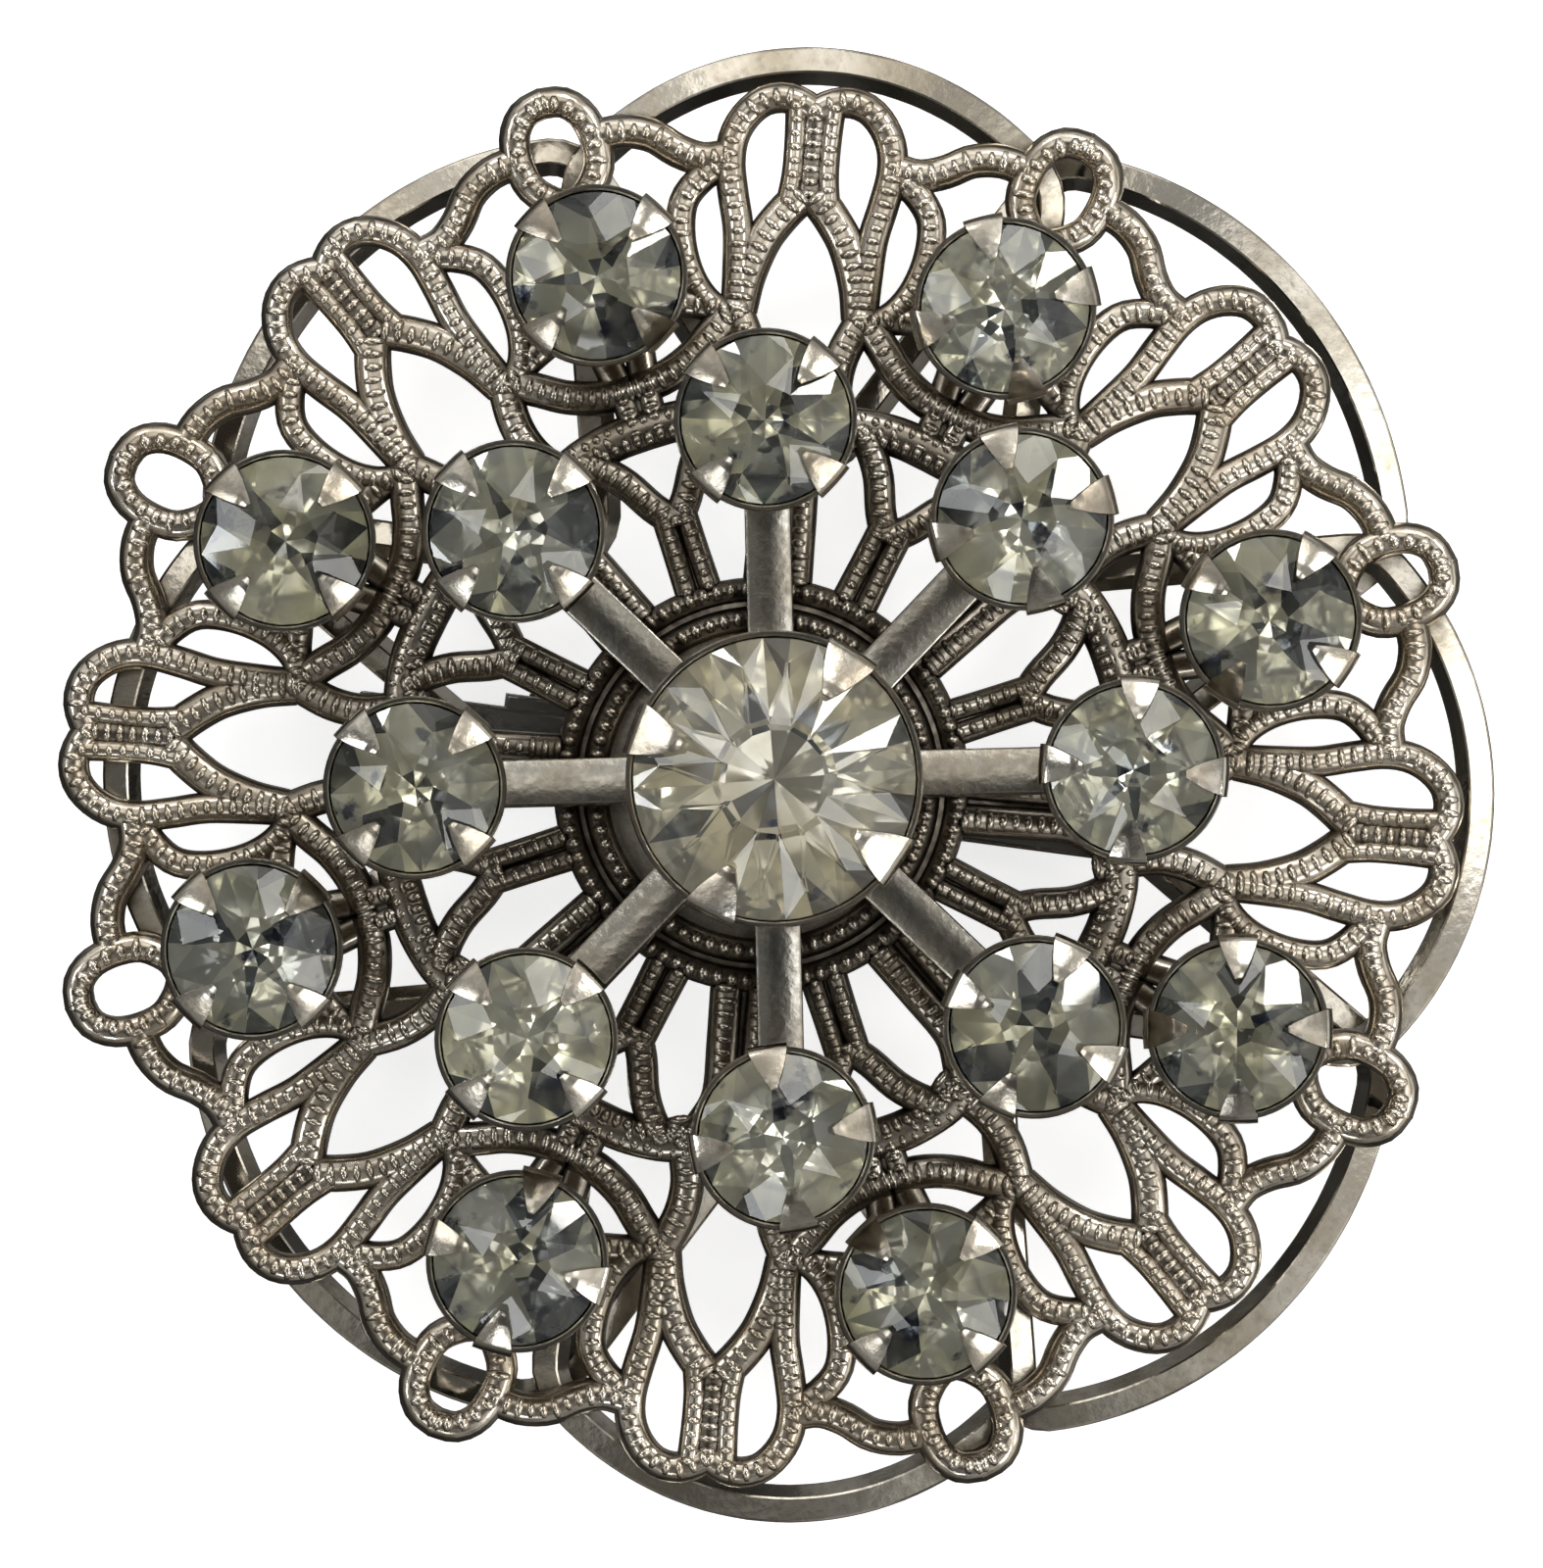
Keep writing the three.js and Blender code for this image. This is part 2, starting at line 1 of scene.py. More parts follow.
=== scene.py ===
"""The looks of the rhinestone hair clip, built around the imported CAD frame.

Lengths are millimetres until a mesh is made.  +Z comes out of the face with the stones.
"""
import math
import random

import bmesh
import bpy
import numpy as np
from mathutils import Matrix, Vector


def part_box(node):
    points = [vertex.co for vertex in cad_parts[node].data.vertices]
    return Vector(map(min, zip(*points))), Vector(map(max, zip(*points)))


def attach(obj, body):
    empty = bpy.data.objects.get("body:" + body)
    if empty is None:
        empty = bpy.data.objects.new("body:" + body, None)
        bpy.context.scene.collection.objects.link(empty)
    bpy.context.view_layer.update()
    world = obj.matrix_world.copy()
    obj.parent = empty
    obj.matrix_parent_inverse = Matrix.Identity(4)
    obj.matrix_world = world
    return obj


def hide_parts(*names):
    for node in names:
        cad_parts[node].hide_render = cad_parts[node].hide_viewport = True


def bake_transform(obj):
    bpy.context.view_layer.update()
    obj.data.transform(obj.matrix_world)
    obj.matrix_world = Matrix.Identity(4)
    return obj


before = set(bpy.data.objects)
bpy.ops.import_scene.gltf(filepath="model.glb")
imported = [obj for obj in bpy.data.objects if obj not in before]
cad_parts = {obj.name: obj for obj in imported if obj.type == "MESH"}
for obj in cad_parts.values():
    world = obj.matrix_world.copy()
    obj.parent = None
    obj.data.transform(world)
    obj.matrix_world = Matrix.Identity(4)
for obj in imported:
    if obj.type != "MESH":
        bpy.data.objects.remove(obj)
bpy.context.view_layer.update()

MM = 0.001
ORNAMENT = "ornament"
JAW = "jaw"
draws = random.Random(7)


def box_mm(node):
    """The low and high corners of a CAD node's box, in millimetres."""
    low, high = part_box(node)
    return np.array(low) / MM, np.array(high) / MM


# ---- places and sizes, the same as the solids' ----

SECTOR = 45
FILIGREE_LOW, FILIGREE_HIGH = box_mm("filigree")
MIDDLE = np.array([(FILIGREE_LOW[0] + FILIGREE_HIGH[0]) / 2, 0.0])  # of the flower
FAN_ANGLE = 85.4
RING_ANGLE = FAN_ANGLE + SECTOR / 2
STAR_AT = MIDDLE + (0.45, 0.2)
STAR_ANGLE = 1.4
FRAME_AT = MIDDLE + (1.3, 0.0)
FRAME_ANGLE = 88.5
FRAME_SCALE = (0.97, 1.03)
CLIP_ANGLE = -7.5

DOME_HEIGHT = 4.0
DOME_RADIUS = 23.5
FILIGREE_Z = FILIGREE_LOW[2]


def dome(radius):
    """How far the flower's sheet rises above its edge at a distance from its middle."""
    return DOME_HEIGHT * max(0.0, 1 - (radius / DOME_RADIUS) ** 2) ** 2


def turned_point(x, y, degrees):
    """A point turned anticlockwise about the origin."""
    a = math.radians(degrees)
    return x * math.cos(a) - y * math.sin(a), x * math.sin(a) + y * math.cos(a)


# ---- meshes ----


class Shell:
    """The points and faces of one piece, in millimetres, with a material slot for each face."""

    def __init__(self):
        self.points = []
        self.faces = []
        self.slots = []

    def add(self, points, faces, slot=0):
        first = len(self.points)
        self.points.extend(tuple(float(v) for v in p) for p in points)
        self.faces.extend(tuple(first + i for i in f) for f in faces)
        self.slots.extend([slot] * len(faces))

    def place(self, other, degrees=0.0, at=(0, 0, 0), slot=None):
        """Adds a turned and moved copy of another shell."""
        first = len(self.points)
        for x, y, z in other.points:
            u, v = turned_point(x, y, degrees)
            self.points.append((u + at[0], v + at[1], z + at[2]))
        self.faces.extend(tuple(first + i for i in f) for f in other.faces)
        self.slots.extend(other.slots if slot is None else [slot] * len(other.faces))

    def piece(self, name, materials, slot, replaces=(), body=ORNAMENT, sharp=35):
        """Makes the shell an object on a body; edges over sharp degrees stay crisp, and 0 is all flat."""
        mesh = bpy.data.meshes.new(name)
        mesh.from_pydata([tuple(v * MM for v in p) for p in self.points], [], self.faces)
        mesh.validate()
        for material in materials:
            mesh.materials.append(material)
        if len(self.slots) == len(mesh.polygons):
            mesh.polygons.foreach_set("material_index", self.slots)
        bm = bmesh.new()
        bm.from_mesh(mesh)
        bmesh.ops.recalc_face_normals(bm, faces=bm.faces)
        bm.to_mesh(mesh)
        bm.free()
        mesh.polygons.foreach_set("use_smooth", [sharp > 0] * len(mesh.polygons))
        if sharp > 0:
            mesh.set_sharp_from_angle(angle=math.radians(sharp))
        made = bpy.data.objects.new(name, mesh)
        bpy.context.scene.collection.objects.link(made)
        if body:
            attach(made, body)
        if replaces:
            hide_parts(*replaces)
        return made


def even_line(points, step, closed=False):
    """A smooth line through the points, as points about one step apart."""
    pts = np.array(points, float)
    if closed:
        around = np.vstack([pts[-1], pts, pts[:2]])
    else:
        around = np.vstack([2 * pts[0] - pts[1], pts, 2 * pts[-1] - pts[-2]])
    fine = []
    for a, b, c, d in zip(around, around[1:], around[2:], around[3:]):
        for t in np.linspace(0, 1, 12, endpoint=False):
            fine.append(
                b
                + 0.5 * t * (c - a)
                + t * t * (a - 2.5 * b + 2 * c - 0.5 * d)
                + t**3 * (1.5 * (b - c) + 0.5 * (d - a))
            )
    fine.append(fine[0] if closed else pts[-1])
    return resample(np.array(fine), step, closed)


def distances(line):
    """How far along a line each of its points is."""
    return np.r_[0, np.cumsum(np.linalg.norm(np.diff(line, axis=0), axis=1))]


def resample(line, step, closed=False):
    """The same line with points about one step apart."""
    lengths = distances(line)
    count = max(2, round(lengths[-1] / step))
    at = np.linspace(0, lengths[-1], count + 1)
    if closed:
        at = at[:-1]
    return np.array([[np.interp(s, lengths, line[:, k]) for k in range(line.shape[1])] for s in at])


def eased_line(points, step, ease):
    """Straight runs between the points, with each corner rounded over a length of about ease."""
    line = resample(np.array(points, float), step)
    reach = max(1, round(ease / step / 2))
    padded = np.vstack([line[:1]] * reach + [line] + [line[-1:]] * reach)
    eased = np.array([padded[i : i + 2 * reach + 1].mean(axis=0) for i in range(len(line))])
    eased[0], eased[-1] = line[0], line[-1]
    return eased


def directions(line, closed=False):
    """The unit direction of a line at each of its points."""
    if closed:
        along = np.roll(line, -1, axis=0) - np.roll(line, 1, axis=0)
    else:
        along = np.gradient(line, axis=0)
    return along / np.linalg.norm(along, axis=1)[:, None]


def tube_faces(rings, sides, closed):
    """The faces that join equal rings of points one after another, capped unless the tube is closed."""
    faces = []
    for i in range(rings if closed else rings - 1):
        a = i * sides
        b = ((i + 1) % rings) * sides
        faces.extend((a + j, a + (j + 1) % sides, b + (j + 1) % sides, b + j) for j in range(sides))
    if not closed:
        faces.append(tuple(reversed(range(sides))))
        faces.append(tuple(range((rings - 1) * sides, rings * sides)))
    return faces


def upright_sweep(shell, line, section, closed=False, slot=0):
    """Draws a section of (outward, up) points along a line; up stays along Z."""
    line = np.array(line)
    flat = directions(line[:, :2], closed)
    points = []
    for (x, y, z), (dx, dy) in zip(line, flat):
        points.extend((x + u * dy, y - u * dx, z + v) for u, v in section)
    shell.add(points, tube_faces(len(line), len(section), closed), slot)


def wire(shell, line, radius, sides=8, slot=0):
    """A round wire along a line in space."""
    line = np.array(line)
    along = directions(line)
    across = np.cross(along[0], (0, 0, 1.0))
    if np.linalg.norm(across) < 0.1:
        across = np.cross(along[0], (0, 1.0, 0))
    points = []
    for p, d in zip(line, along):
        across = across - d * np.dot(across, d)
        across /= np.linalg.norm(across)
        other = np.cross(d, across)
        for j in range(sides):
            a = 2 * math.pi * j / sides
            points.append(p + radius * (across * math.cos(a) + other * math.sin(a)))
    shell.add(points, tube_faces(len(line), sides, False), slot)


def lathe(shell, profile, segments, at=(0, 0, 0), slot=0):
    """A solid of revolution from a closed (radius, height) profile; radius 0 makes a pole."""
    points = []
    rows = []
    for radius, height in profile:
        if radius == 0:
            rows.append([len(points)] * segments)
            points.append((at[0], at[1], at[2] + height))
            continue
        rows.append(list(range(len(points), len(points) + segments)))
        for j in range(segments):
            a = 2 * math.pi * j / segments
            points.append((at[0] + radius * math.cos(a), at[1] + radius * math.sin(a), at[2] + height))
    faces = []
    for low, high in zip(rows, rows[1:] + rows[:1]):
        for j in range(segments):
            k = (j + 1) % segments
            corners = [low[j], low[k], high[k], high[j]]
            corners = [c for i, c in enumerate(corners) if c != corners[i - 1]]
            if len(corners) > 2:
                faces.append(tuple(corners))
    shell.add(points, faces, slot)


def slab(shell, outline, bottom, top, edge, slot=0):
    """A flat plate with softened edges, from an anticlockwise outline."""
    outline = np.array(outline)
    before = outline - np.roll(outline, 1, axis=0)
    after = np.roll(outline, -1, axis=0) - outline
    before /= np.linalg.norm(before, axis=1)[:, None]
    after /= np.linalg.norm(after, axis=1)[:, None]
    outward = np.c_[before[:, 1] + after[:, 1], -before[:, 0] - after[:, 0]]
    size = np.maximum(np.einsum("ij,ij->i", outward, outward) / 2, 0.4)
    outward /= size[:, None]
    rings = [
        (edge * 1.5, bottom),
        (edge, bottom),
        (edge * 0.3, bottom + edge * 0.3),
        (0, bottom + edge),
        (0, top - edge),
        (edge * 0.3, top - edge * 0.3),
        (edge, top),
        (edge * 1.5, top),
    ]
    points = []
    for inset, z in rings:
        points.extend((x, y, z) for x, y in outline - outward * inset)
    shell.add(points, tube_faces(len(rings), len(outline), False), slot)


def bead(shell, at, along, length, width, height, slot=0):
    """A small closed oval bead, as the beading on cast or stamped wire."""
    sides = 8
    dx, dy = along
    points = [(at[0], at[1], at[2] - height * 0.5)]
    for level, spread in ((0.0, 1.0), (0.62, 0.76)):
        for j in range(sides):
            a = 2 * math.pi * (j + 0.5) / sides
            u = length / 2 * spread * math.cos(a)
            v = width / 2 * spread * math.sin(a)
            points.append((at[0] + u * dx - v * dy, at[1] + u * dy + v * dx, at[2] + height * level))
    points.append((at[0], at[1], at[2] + height))
    peak = 1 + 2 * sides
    faces = []
    for j in range(sides):
        low, low_next = 1 + j, 1 + (j + 1) % sides
        faces.append((0, low_next, low))
        faces.append((low, low_next, low_next + sides, low + sides))
        faces.append((low + sides, low_next + sides, peak))
    shell.add(points, faces, slot)


# ---- materials ----


def new_material(name):
    """A new material, its nodes, its links and its shader."""
    material = bpy.data.materials.new(name)
    material.use_nodes = True
    nodes = material.node_tree.nodes
    return material, nodes, material.node_tree.links, nodes["Principled BSDF"]


def add_noise(nodes, links, place, scale, detail=4.0):
    """Noise fixed to the object, from 0 to 1."""
    noise = nodes.new("ShaderNodeTexNoise")
    noise.inputs["Scale"].default_value = scale
    noise.inputs["Detail"].default_value = detail
    links.new(place.outputs["Object"], noise.inputs["Vector"])
    return noise.outputs["Fac"]


def add_range(nodes, links, value, low, high, to_low, to_high):
    """Maps the span from low to high onto the span from to_low to to_high, and holds it there."""
    made = nodes.new("ShaderNodeMapRange")
    made.inputs["From Min"].default_value = low
    made.inputs["From Max"].default_value = high
    made.inputs["To Min"].default_value = to_low
    made.inputs["To Max"].default_value = to_high
    links.new(value, made.inputs["Value"])
    return made.outputs["Result"]


def add_math(nodes, links, operation, a, b):
    """A sum or product of two values, each a number or a node's output."""
    made = nodes.new("ShaderNodeMath")
    made.operation = operation
    for socket, value in zip(made.inputs, (a, b)):
        if isinstance(value, (int, float)):
            socket.default_value = value
        else:
            links.new(value, socket)
    return made.outputs["Value"]


def add_mix(nodes, links, factor, a, b):
    """A colour between two, each a colour or a node's output; factor 0 gives the first."""
    made = nodes.new("ShaderNodeMix")
    made.data_type = "RGBA"
    links.new(factor, made.inputs["Factor"])
    for socket, value in zip((made.inputs["A"], made.inputs["B"]), (a, b)):
        if isinstance(value, tuple):
            socket.default_value = (*value, 1)
        else:
            links.new(value, socket)
    return made.outputs["Result"]


# How fine the noises are, in repeats to the metre: patches of metal, specks, film on glass, stains of foil.

PATCHES = 420
SPECKS = 2600
FILM = 700
STAINS = 330
SPOTS = 760
RELIEF_HEIGHT = 0.06 * MM
METAL_IN_FOIL = 0.72
GLASS_IOR = 1.54


def add_way_out(nodes, links, place, start, end):
    """How far out a point is from the flower's axis: 0 at start and 1 at end, in millimetres."""
    flat = nodes.new("ShaderNodeVectorMath")
    flat.operation = "MULTIPLY_ADD"
    flat.inputs[1].default_value = (1, 1, 0)
    flat.inputs[2].default_value = (-MIDDLE[0] * MM, -MIDDLE[1] * MM, 0)
    links.new(place.outputs["Object"], flat.inputs[0])
    radius = nodes.new("ShaderNodeVectorMath")
    radius.operation = "LENGTH"
    links.new(flat.outputs["Vector"], radius.inputs[0])
    return add_range(nodes, links, radius.outputs["Value"], start * MM, end * MM, 0, 1)


def silver(
    name, bright, warm, tarnish_and_shade, rough=(0.2, 0.42), hollow=0.7, reach=(0.35, 0.85), bump=0.15, paler_outward=None
):
    """Plated metal: bright where it is rubbed, warmer in patches, tarnished in its hollows and darkened
    with painted shade where other parts lie close to it.

    Rough is for untarnished and tarnished metal.  Hollow is how far apart the walls of a hollow are, and
    reach is the share of open room at which the metal is fully tarnished and shaded and fully
    untarnished and unshaded.  The span of radii in the last argument is where the metal turns paler and
    less tarnished towards the rim.
    """
    material, nodes, links, shader = new_material(name)
    place = nodes.new("ShaderNodeTexCoord")
    patches = add_noise(nodes, links, place, PATCHES)
    specks = add_noise(nodes, links, place, SPECKS, 3)
    # Ambient occlusion, which reaches other parts too: tarnish in the metal's own hollows, and painted
    # shade where other parts such as the star, stones and bar lie close.
    shade = nodes.new("ShaderNodeAmbientOcclusion")
    shade.samples = 6
    shade.inputs["Distance"].default_value = hollow * MM
    open_part = add_range(nodes, links, shade.outputs["AO"], reach[0], reach[1], 0, 1)
    worn = add_range(nodes, links, specks, 0.3, 0.7, -0.22, 0.22)
    clean_and_lit = add_math(nodes, links, "ADD", open_part, worn)
    tone = add_mix(nodes, links, add_range(nodes, links, patches, 0.38, 0.64, 0, 1), bright, warm)
    # Paler and less tarnished towards the rim, over the given span of radii.
    if paler_outward:
        way_out = add_way_out(nodes, links, place, *paler_outward)
        clean_and_lit = add_math(nodes, links, "ADD", clean_and_lit, add_range(nodes, links, way_out, 0, 1, -0.04, 0.22))
        paler = nodes.new("ShaderNodeVectorMath")
        paler.operation = "SCALE"
        links.new(tone, paler.inputs[0])
        links.new(add_range(nodes, links, way_out, 0, 1, 0.95, 1.45), paler.inputs["Scale"])
        tone = paler.outputs["Vector"]
    # The colour runs from tarnish and painted shade in hollows and close under other parts to the metal's
    # own tone in the open.
    color = add_mix(nodes, links, clean_and_lit, tarnish_and_shade, tone)
    links.new(color, shader.inputs["Base Color"])
    shader.inputs["Metallic"].default_value = 1.0
    dull = add_range(nodes, links, clean_and_lit, 0.1, 1.0, rough[1], rough[0])
    smear = add_range(nodes, links, patches, 0.3, 0.7, -0.05, 0.07)
    links.new(add_math(nodes, links, "ADD", dull, smear), shader.inputs["Roughness"])
    relief = nodes.new("ShaderNodeBump")
    relief.inputs["Strength"].default_value = bump
    relief.inputs["Distance"].default_value = RELIEF_HEIGHT
    links.new(specks, relief.inputs["Height"])
    links.new(relief.outputs["Normal"], shader.inputs["Normal"])
    return material


def cut_glass(name, tint):
    """Clear glass with a faint film on it."""
    material, nodes, links, shader = new_material(name)
    place = nodes.new("ShaderNodeTexCoord")
    film = add_noise(nodes, links, place, FILM, 5)
    shader.inputs["Base Color"].default_value = (*tint, 1)
    shader.inputs["Transmission Weight"].default_value = 1.0
    shader.inputs["IOR"].default_value = GLASS_IOR
    links.new(add_range(nodes, links, film, 0.3, 0.9, 0.008, 0.03), shader.inputs["Roughness"])
    return material


def foil(name, bright, stained, dark, wear):
    """The mirror foil behind a stone, seen through it: silver with stains and dark worn spots."""
    material, nodes, links, shader = new_material(name)
    place = nodes.new("ShaderNodeTexCoord")
    stains = add_noise(nodes, links, place, STAINS, 6)
    spots = add_noise(nodes, links, place, SPOTS, 8)
    tone = add_mix(nodes, links, add_range(nodes, links, stains, 0.42, 0.6, 0, 1), bright, stained)
    worn = add_range(nodes, links, spots, 0.62 - wear, 0.68 - wear, 0, 1)
    links.new(add_mix(nodes, links, worn, tone, dark), shader.inputs["Base Color"])
    shader.inputs["Metallic"].default_value = METAL_IN_FOIL
    links.new(add_range(nodes, links, stains, 0.4, 0.7, 0.03, 0.18), shader.inputs["Roughness"])
    return material


FILIGREE_METAL = silver(
    "antiqued_silver",
    (0.48, 0.44, 0.38),
    (0.325, 0.28, 0.22),
    (0.034, 0.026, 0.019),
    hollow=1.2,
    reach=(0.4, 0.92),
    paler_outward=(14, 22),
)
SETTING_METAL = silver(
    "setting_silver",
    (0.50, 0.475, 0.42),
    (0.37, 0.325, 0.26),
    (0.07, 0.055, 0.04),
    rough=(0.16, 0.34),
    hollow=0.8,
)
STAR_METAL = silver(
    "star_silver",
    (0.42, 0.405, 0.36),
    (0.31, 0.28, 0.23),
    (0.065, 0.052, 0.038),
    rough=(0.2, 0.4),
    hollow=1.2,
    reach=(0.35, 1.12),
    bump=0.3,
)
RIBBON_METAL = silver(
    "ribbon_silver",
    (0.66, 0.62, 0.55),
    (0.50, 0.45, 0.36),
    (0.12, 0.10, 0.07),
    rough=(0.12, 0.3),
    hollow=0.8,
)
CLIP_METAL = silver(
    "clip_steel",
    (0.55, 0.55, 0.53),
    (0.42, 0.40, 0.36),
    (0.09, 0.075, 0.06),
    rough=(0.2, 0.4),
)
STONE_GLASS = cut_glass("stone_glass", (0.985, 0.99, 0.97))
CENTRE_GLASS = cut_glass("centre_glass", (0.995, 0.99, 0.965))
# Bright, grey and dark copies of one foil, laid at random on the back facets: painted light and dark facet
# reflections.  The stains and worn spots in each copy are the foil's own.
STONE_FOILS = [
    foil("stone_foil", (0.96, 0.95, 0.86), (0.76, 0.74, 0.58), (0.16, 0.17, 0.21), 0.0),
    foil("stone_foil_painted_mid_facets", (0.70, 0.71, 0.66), (0.54, 0.52, 0.42), (0.12, 0.13, 0.17), 0.02),
    foil("stone_foil_painted_dark_facets", (0.22, 0.24, 0.26), (0.15, 0.15, 0.14), (0.03, 0.04, 0.07), 0.04),
]
# The same bright, grey and dark copies for the centre stone: painted facet reflections.
CENTRE_FOILS = [
    foil("centre_foil", (0.94, 0.92, 0.82), (0.76, 0.72, 0.58), (0.28, 0.28, 0.28), -0.03),
    foil("centre_foil_painted_mid_facets", (0.64, 0.63, 0.57), (0.50, 0.47, 0.38), (0.20, 0.21, 0.24), 0.0),
    foil("centre_foil_painted_dark_facets", (0.28, 0.30, 0.32), (0.20, 0.19, 0.17), (0.06, 0.07, 0.11), 0.02),
]


# ---- stones ----

# A stone's radii, heights and facets, the weights of its bright, grey and dark foil copies (painted facet
# reflections), and its setting's foot and claws.

SMALL = dict(
    radius=2.9,
    table=1.2,
    girdle=2.0,
    edge=0.2,
    mains=8,
    tier=0.22,
    facet_shade_weights=(6, 3, 3),
    foot=0.8,
    claw_width=1.4,
    claw_tip=1.75,
)
LARGE = dict(
    radius=4.85,
    table=1.9,
    girdle=2.7,
    edge=0.25,
    mains=16,
    tier=0.36,
    facet_shade_weights=(6, 3, 2),
    foot=1.6,
    claw_width=1.9,
    claw_tip=3.35,
)
for size, node in ((SMALL, "outer_stone_1"), (LARGE, "centre_stone")):
    low, high = box_mm(node)
    size["depth"] = high[2] - low[2]


def ring_of(count, radius, z, first=0.0):
    """Evenly spaced points on a circle; first is the share of a space that the first point is turned."""
    return [
        (radius * math.cos(a), radius * math.sin(a), z)
        for a in (2 * math.pi * (j + first) / count for j in range(count))
    ]


def cut_stone(size):
    """A round stone with its culet at z = 0.  Slot 0 is glass; slots 1 to 3 are bright, grey and dark
    copies of the foil behind it, as painted facet reflections.
    """
    shell = Shell()
    n = size["mains"]
    r = size["radius"]
    top = size["depth"]
    low = size["girdle"]
    high = low + size["edge"]
    around = 4 * n
    points = [(0, 0, 0)]

    def add_ring(count, radius, z, first=0.0):
        """Adds a ring of points, and returns the function that gives the number of its kth point."""
        start = len(points)
        points.extend(ring_of(count, radius, z, first))
        return lambda k: start + k % count

    lower = add_ring(around, r, low)
    upper = add_ring(around, r, high)
    table = add_ring(n, size["table"], top)
    kite_radius = r * 0.82
    kite_rise = (r - kite_radius) / (r - size["table"]) + 0.08
    kite = add_ring(n, kite_radius, high + (top - high) * kite_rise, 0.5)
    inner = add_ring(n, r * size["tier"], low * size["tier"] * 0.96)
    outer = add_ring(n, r * 0.64, low * 0.60, 0.5)
    for at in range(inner(0), len(points)):
        x, y, z = points[at]
        wide = draws.uniform(0.94, 1.05)
        points[at] = (x * wide, y * wide, z * draws.uniform(0.96, 1.05))
    glass = [tuple(table(k) for k in range(n))]
    backing = []
    for j in range(around):
        glass.append((lower(j), lower(j + 1), upper(j + 1), upper(j)))
    for k in range(n):
        glass.append((table(k), kite(k), table(k + 1)))
        glass.append((table(k), kite(k - 1), upper(4 * k), kite(k)))
        glass.append((kite(k), upper(4 * k), upper(4 * k + 1), upper(4 * k + 2)))
        glass.append((kite(k), upper(4 * k + 2), upper(4 * k + 3), upper(4 * k + 4)))
        backing.append((0, inner(k), inner(k + 1)))
        backing.append((inner(k), outer(k), inner(k + 1)))
        backing.append((inner(k + 1), outer(k), lower(4 * k + 4), outer(k + 1)))
        backing.append((outer(k), lower(4 * k), lower(4 * k + 1), lower(4 * k + 2)))
        backing.append((outer(k), lower(4 * k + 2), lower(4 * k + 3), lower(4 * k + 4)))
    shell.add(points, glass, 0)
    shell.faces.extend(backing)
    # Each back facet gets the bright, grey or dark copy at random: painted facet reflections.
    shell.slots.extend(draws.choices((1, 2, 3), size["facet_shade_weights"], k=len(backing)))
    return shell


# ---- claw settings ----

CUP_WALL = 0.2
CUP_CLEARANCE = 0.06
CUP_FLOOR = 0.2
CLAW_THICKNESS = 0.17
CLAW_BEND = 0.22
CLAW_SHOULDER = 0.9  # the length of a claw before it starts to taper
CLAW_ROWS = 5


def claw(shell, size, degrees, lift):
    """A claw cut from the cup's wall and bent in over the crown of the stone."""
    r = size["radius"] + CUP_CLEARANCE + CUP_WALL
    girdle_top = lift + size["girdle"] + size["edge"]
    crown = lift + size["depth"] - girdle_top
    slope = math.atan2(crown, size["radius"] - size["table"])
    path = [(r - 0.02, girdle_top - 0.9), (r - 0.02, girdle_top - 0.3), (r, girdle_top - 0.02)]
    path += [(r - 0.03, girdle_top + 0.12)]
    path += [(r - CLAW_BEND, girdle_top + 0.18 + CLAW_BEND * math.tan(slope))]
    rise = (r - size["claw_tip"] - CLAW_BEND) * math.tan(slope)
    path += [(size["claw_tip"], path[-1][1] + rise * 0.94)]
    line = even_line(path, 0.13)
    lengths = distances(line)
    fold = CLAW_SHOULDER
    total = lengths[-1]
    along = directions(line)
    across = CLAW_ROWS
    top = []
    under = []
    for (x, z), (dx, dz), s in zip(line, along, lengths):
        half = size["claw_width"] / 2
        if s > fold:
            half *= max(0.16, 1 - 0.84 * ((s - fold) / (total - fold)) ** 1.5)
        elif s < fold * 0.6:
            half *= 0.86 + 0.14 * s / (fold * 0.6)
        out = (dz, -dx)
        thin = CLAW_THICKNESS * (0.75 if s > total - 0.3 else 1.0)
        for j in range(across):
            v = half * (2 * j / (across - 1) - 1)
            swell = 0.05 * (1 - (v / max(half, 0.01)) ** 2) * min(1, half / 0.4)
            top.append((x + out[0] * (thin + swell) * 0.6, v, z + out[1] * (thin + swell) * 0.6))
            under.append((x - out[0] * thin * 0.4, v, z - out[1] * thin * 0.4))
    rows = len(line)
    points = top + under
    down = rows * across
    faces = []
    for i in range(rows - 1):
        for j in range(across - 1):
            a = i * across + j
            faces.append((a, a + 1, a + across + 1, a + across))
            faces.append((down + a, down + a + across, down + a + across + 1, down + a + 1))
        for a in (i * across, i * across + across - 1):
            faces.append((a, a + across, down + a + across, down + a))
    for i in (0, rows - 1):
        for j in range(across - 1):
            a = i * across + j
            faces.append((a, a + 1, down + a + 1, down + a))
    part = Shell()
    part.add(points, faces)
    shell.place(part, degrees)


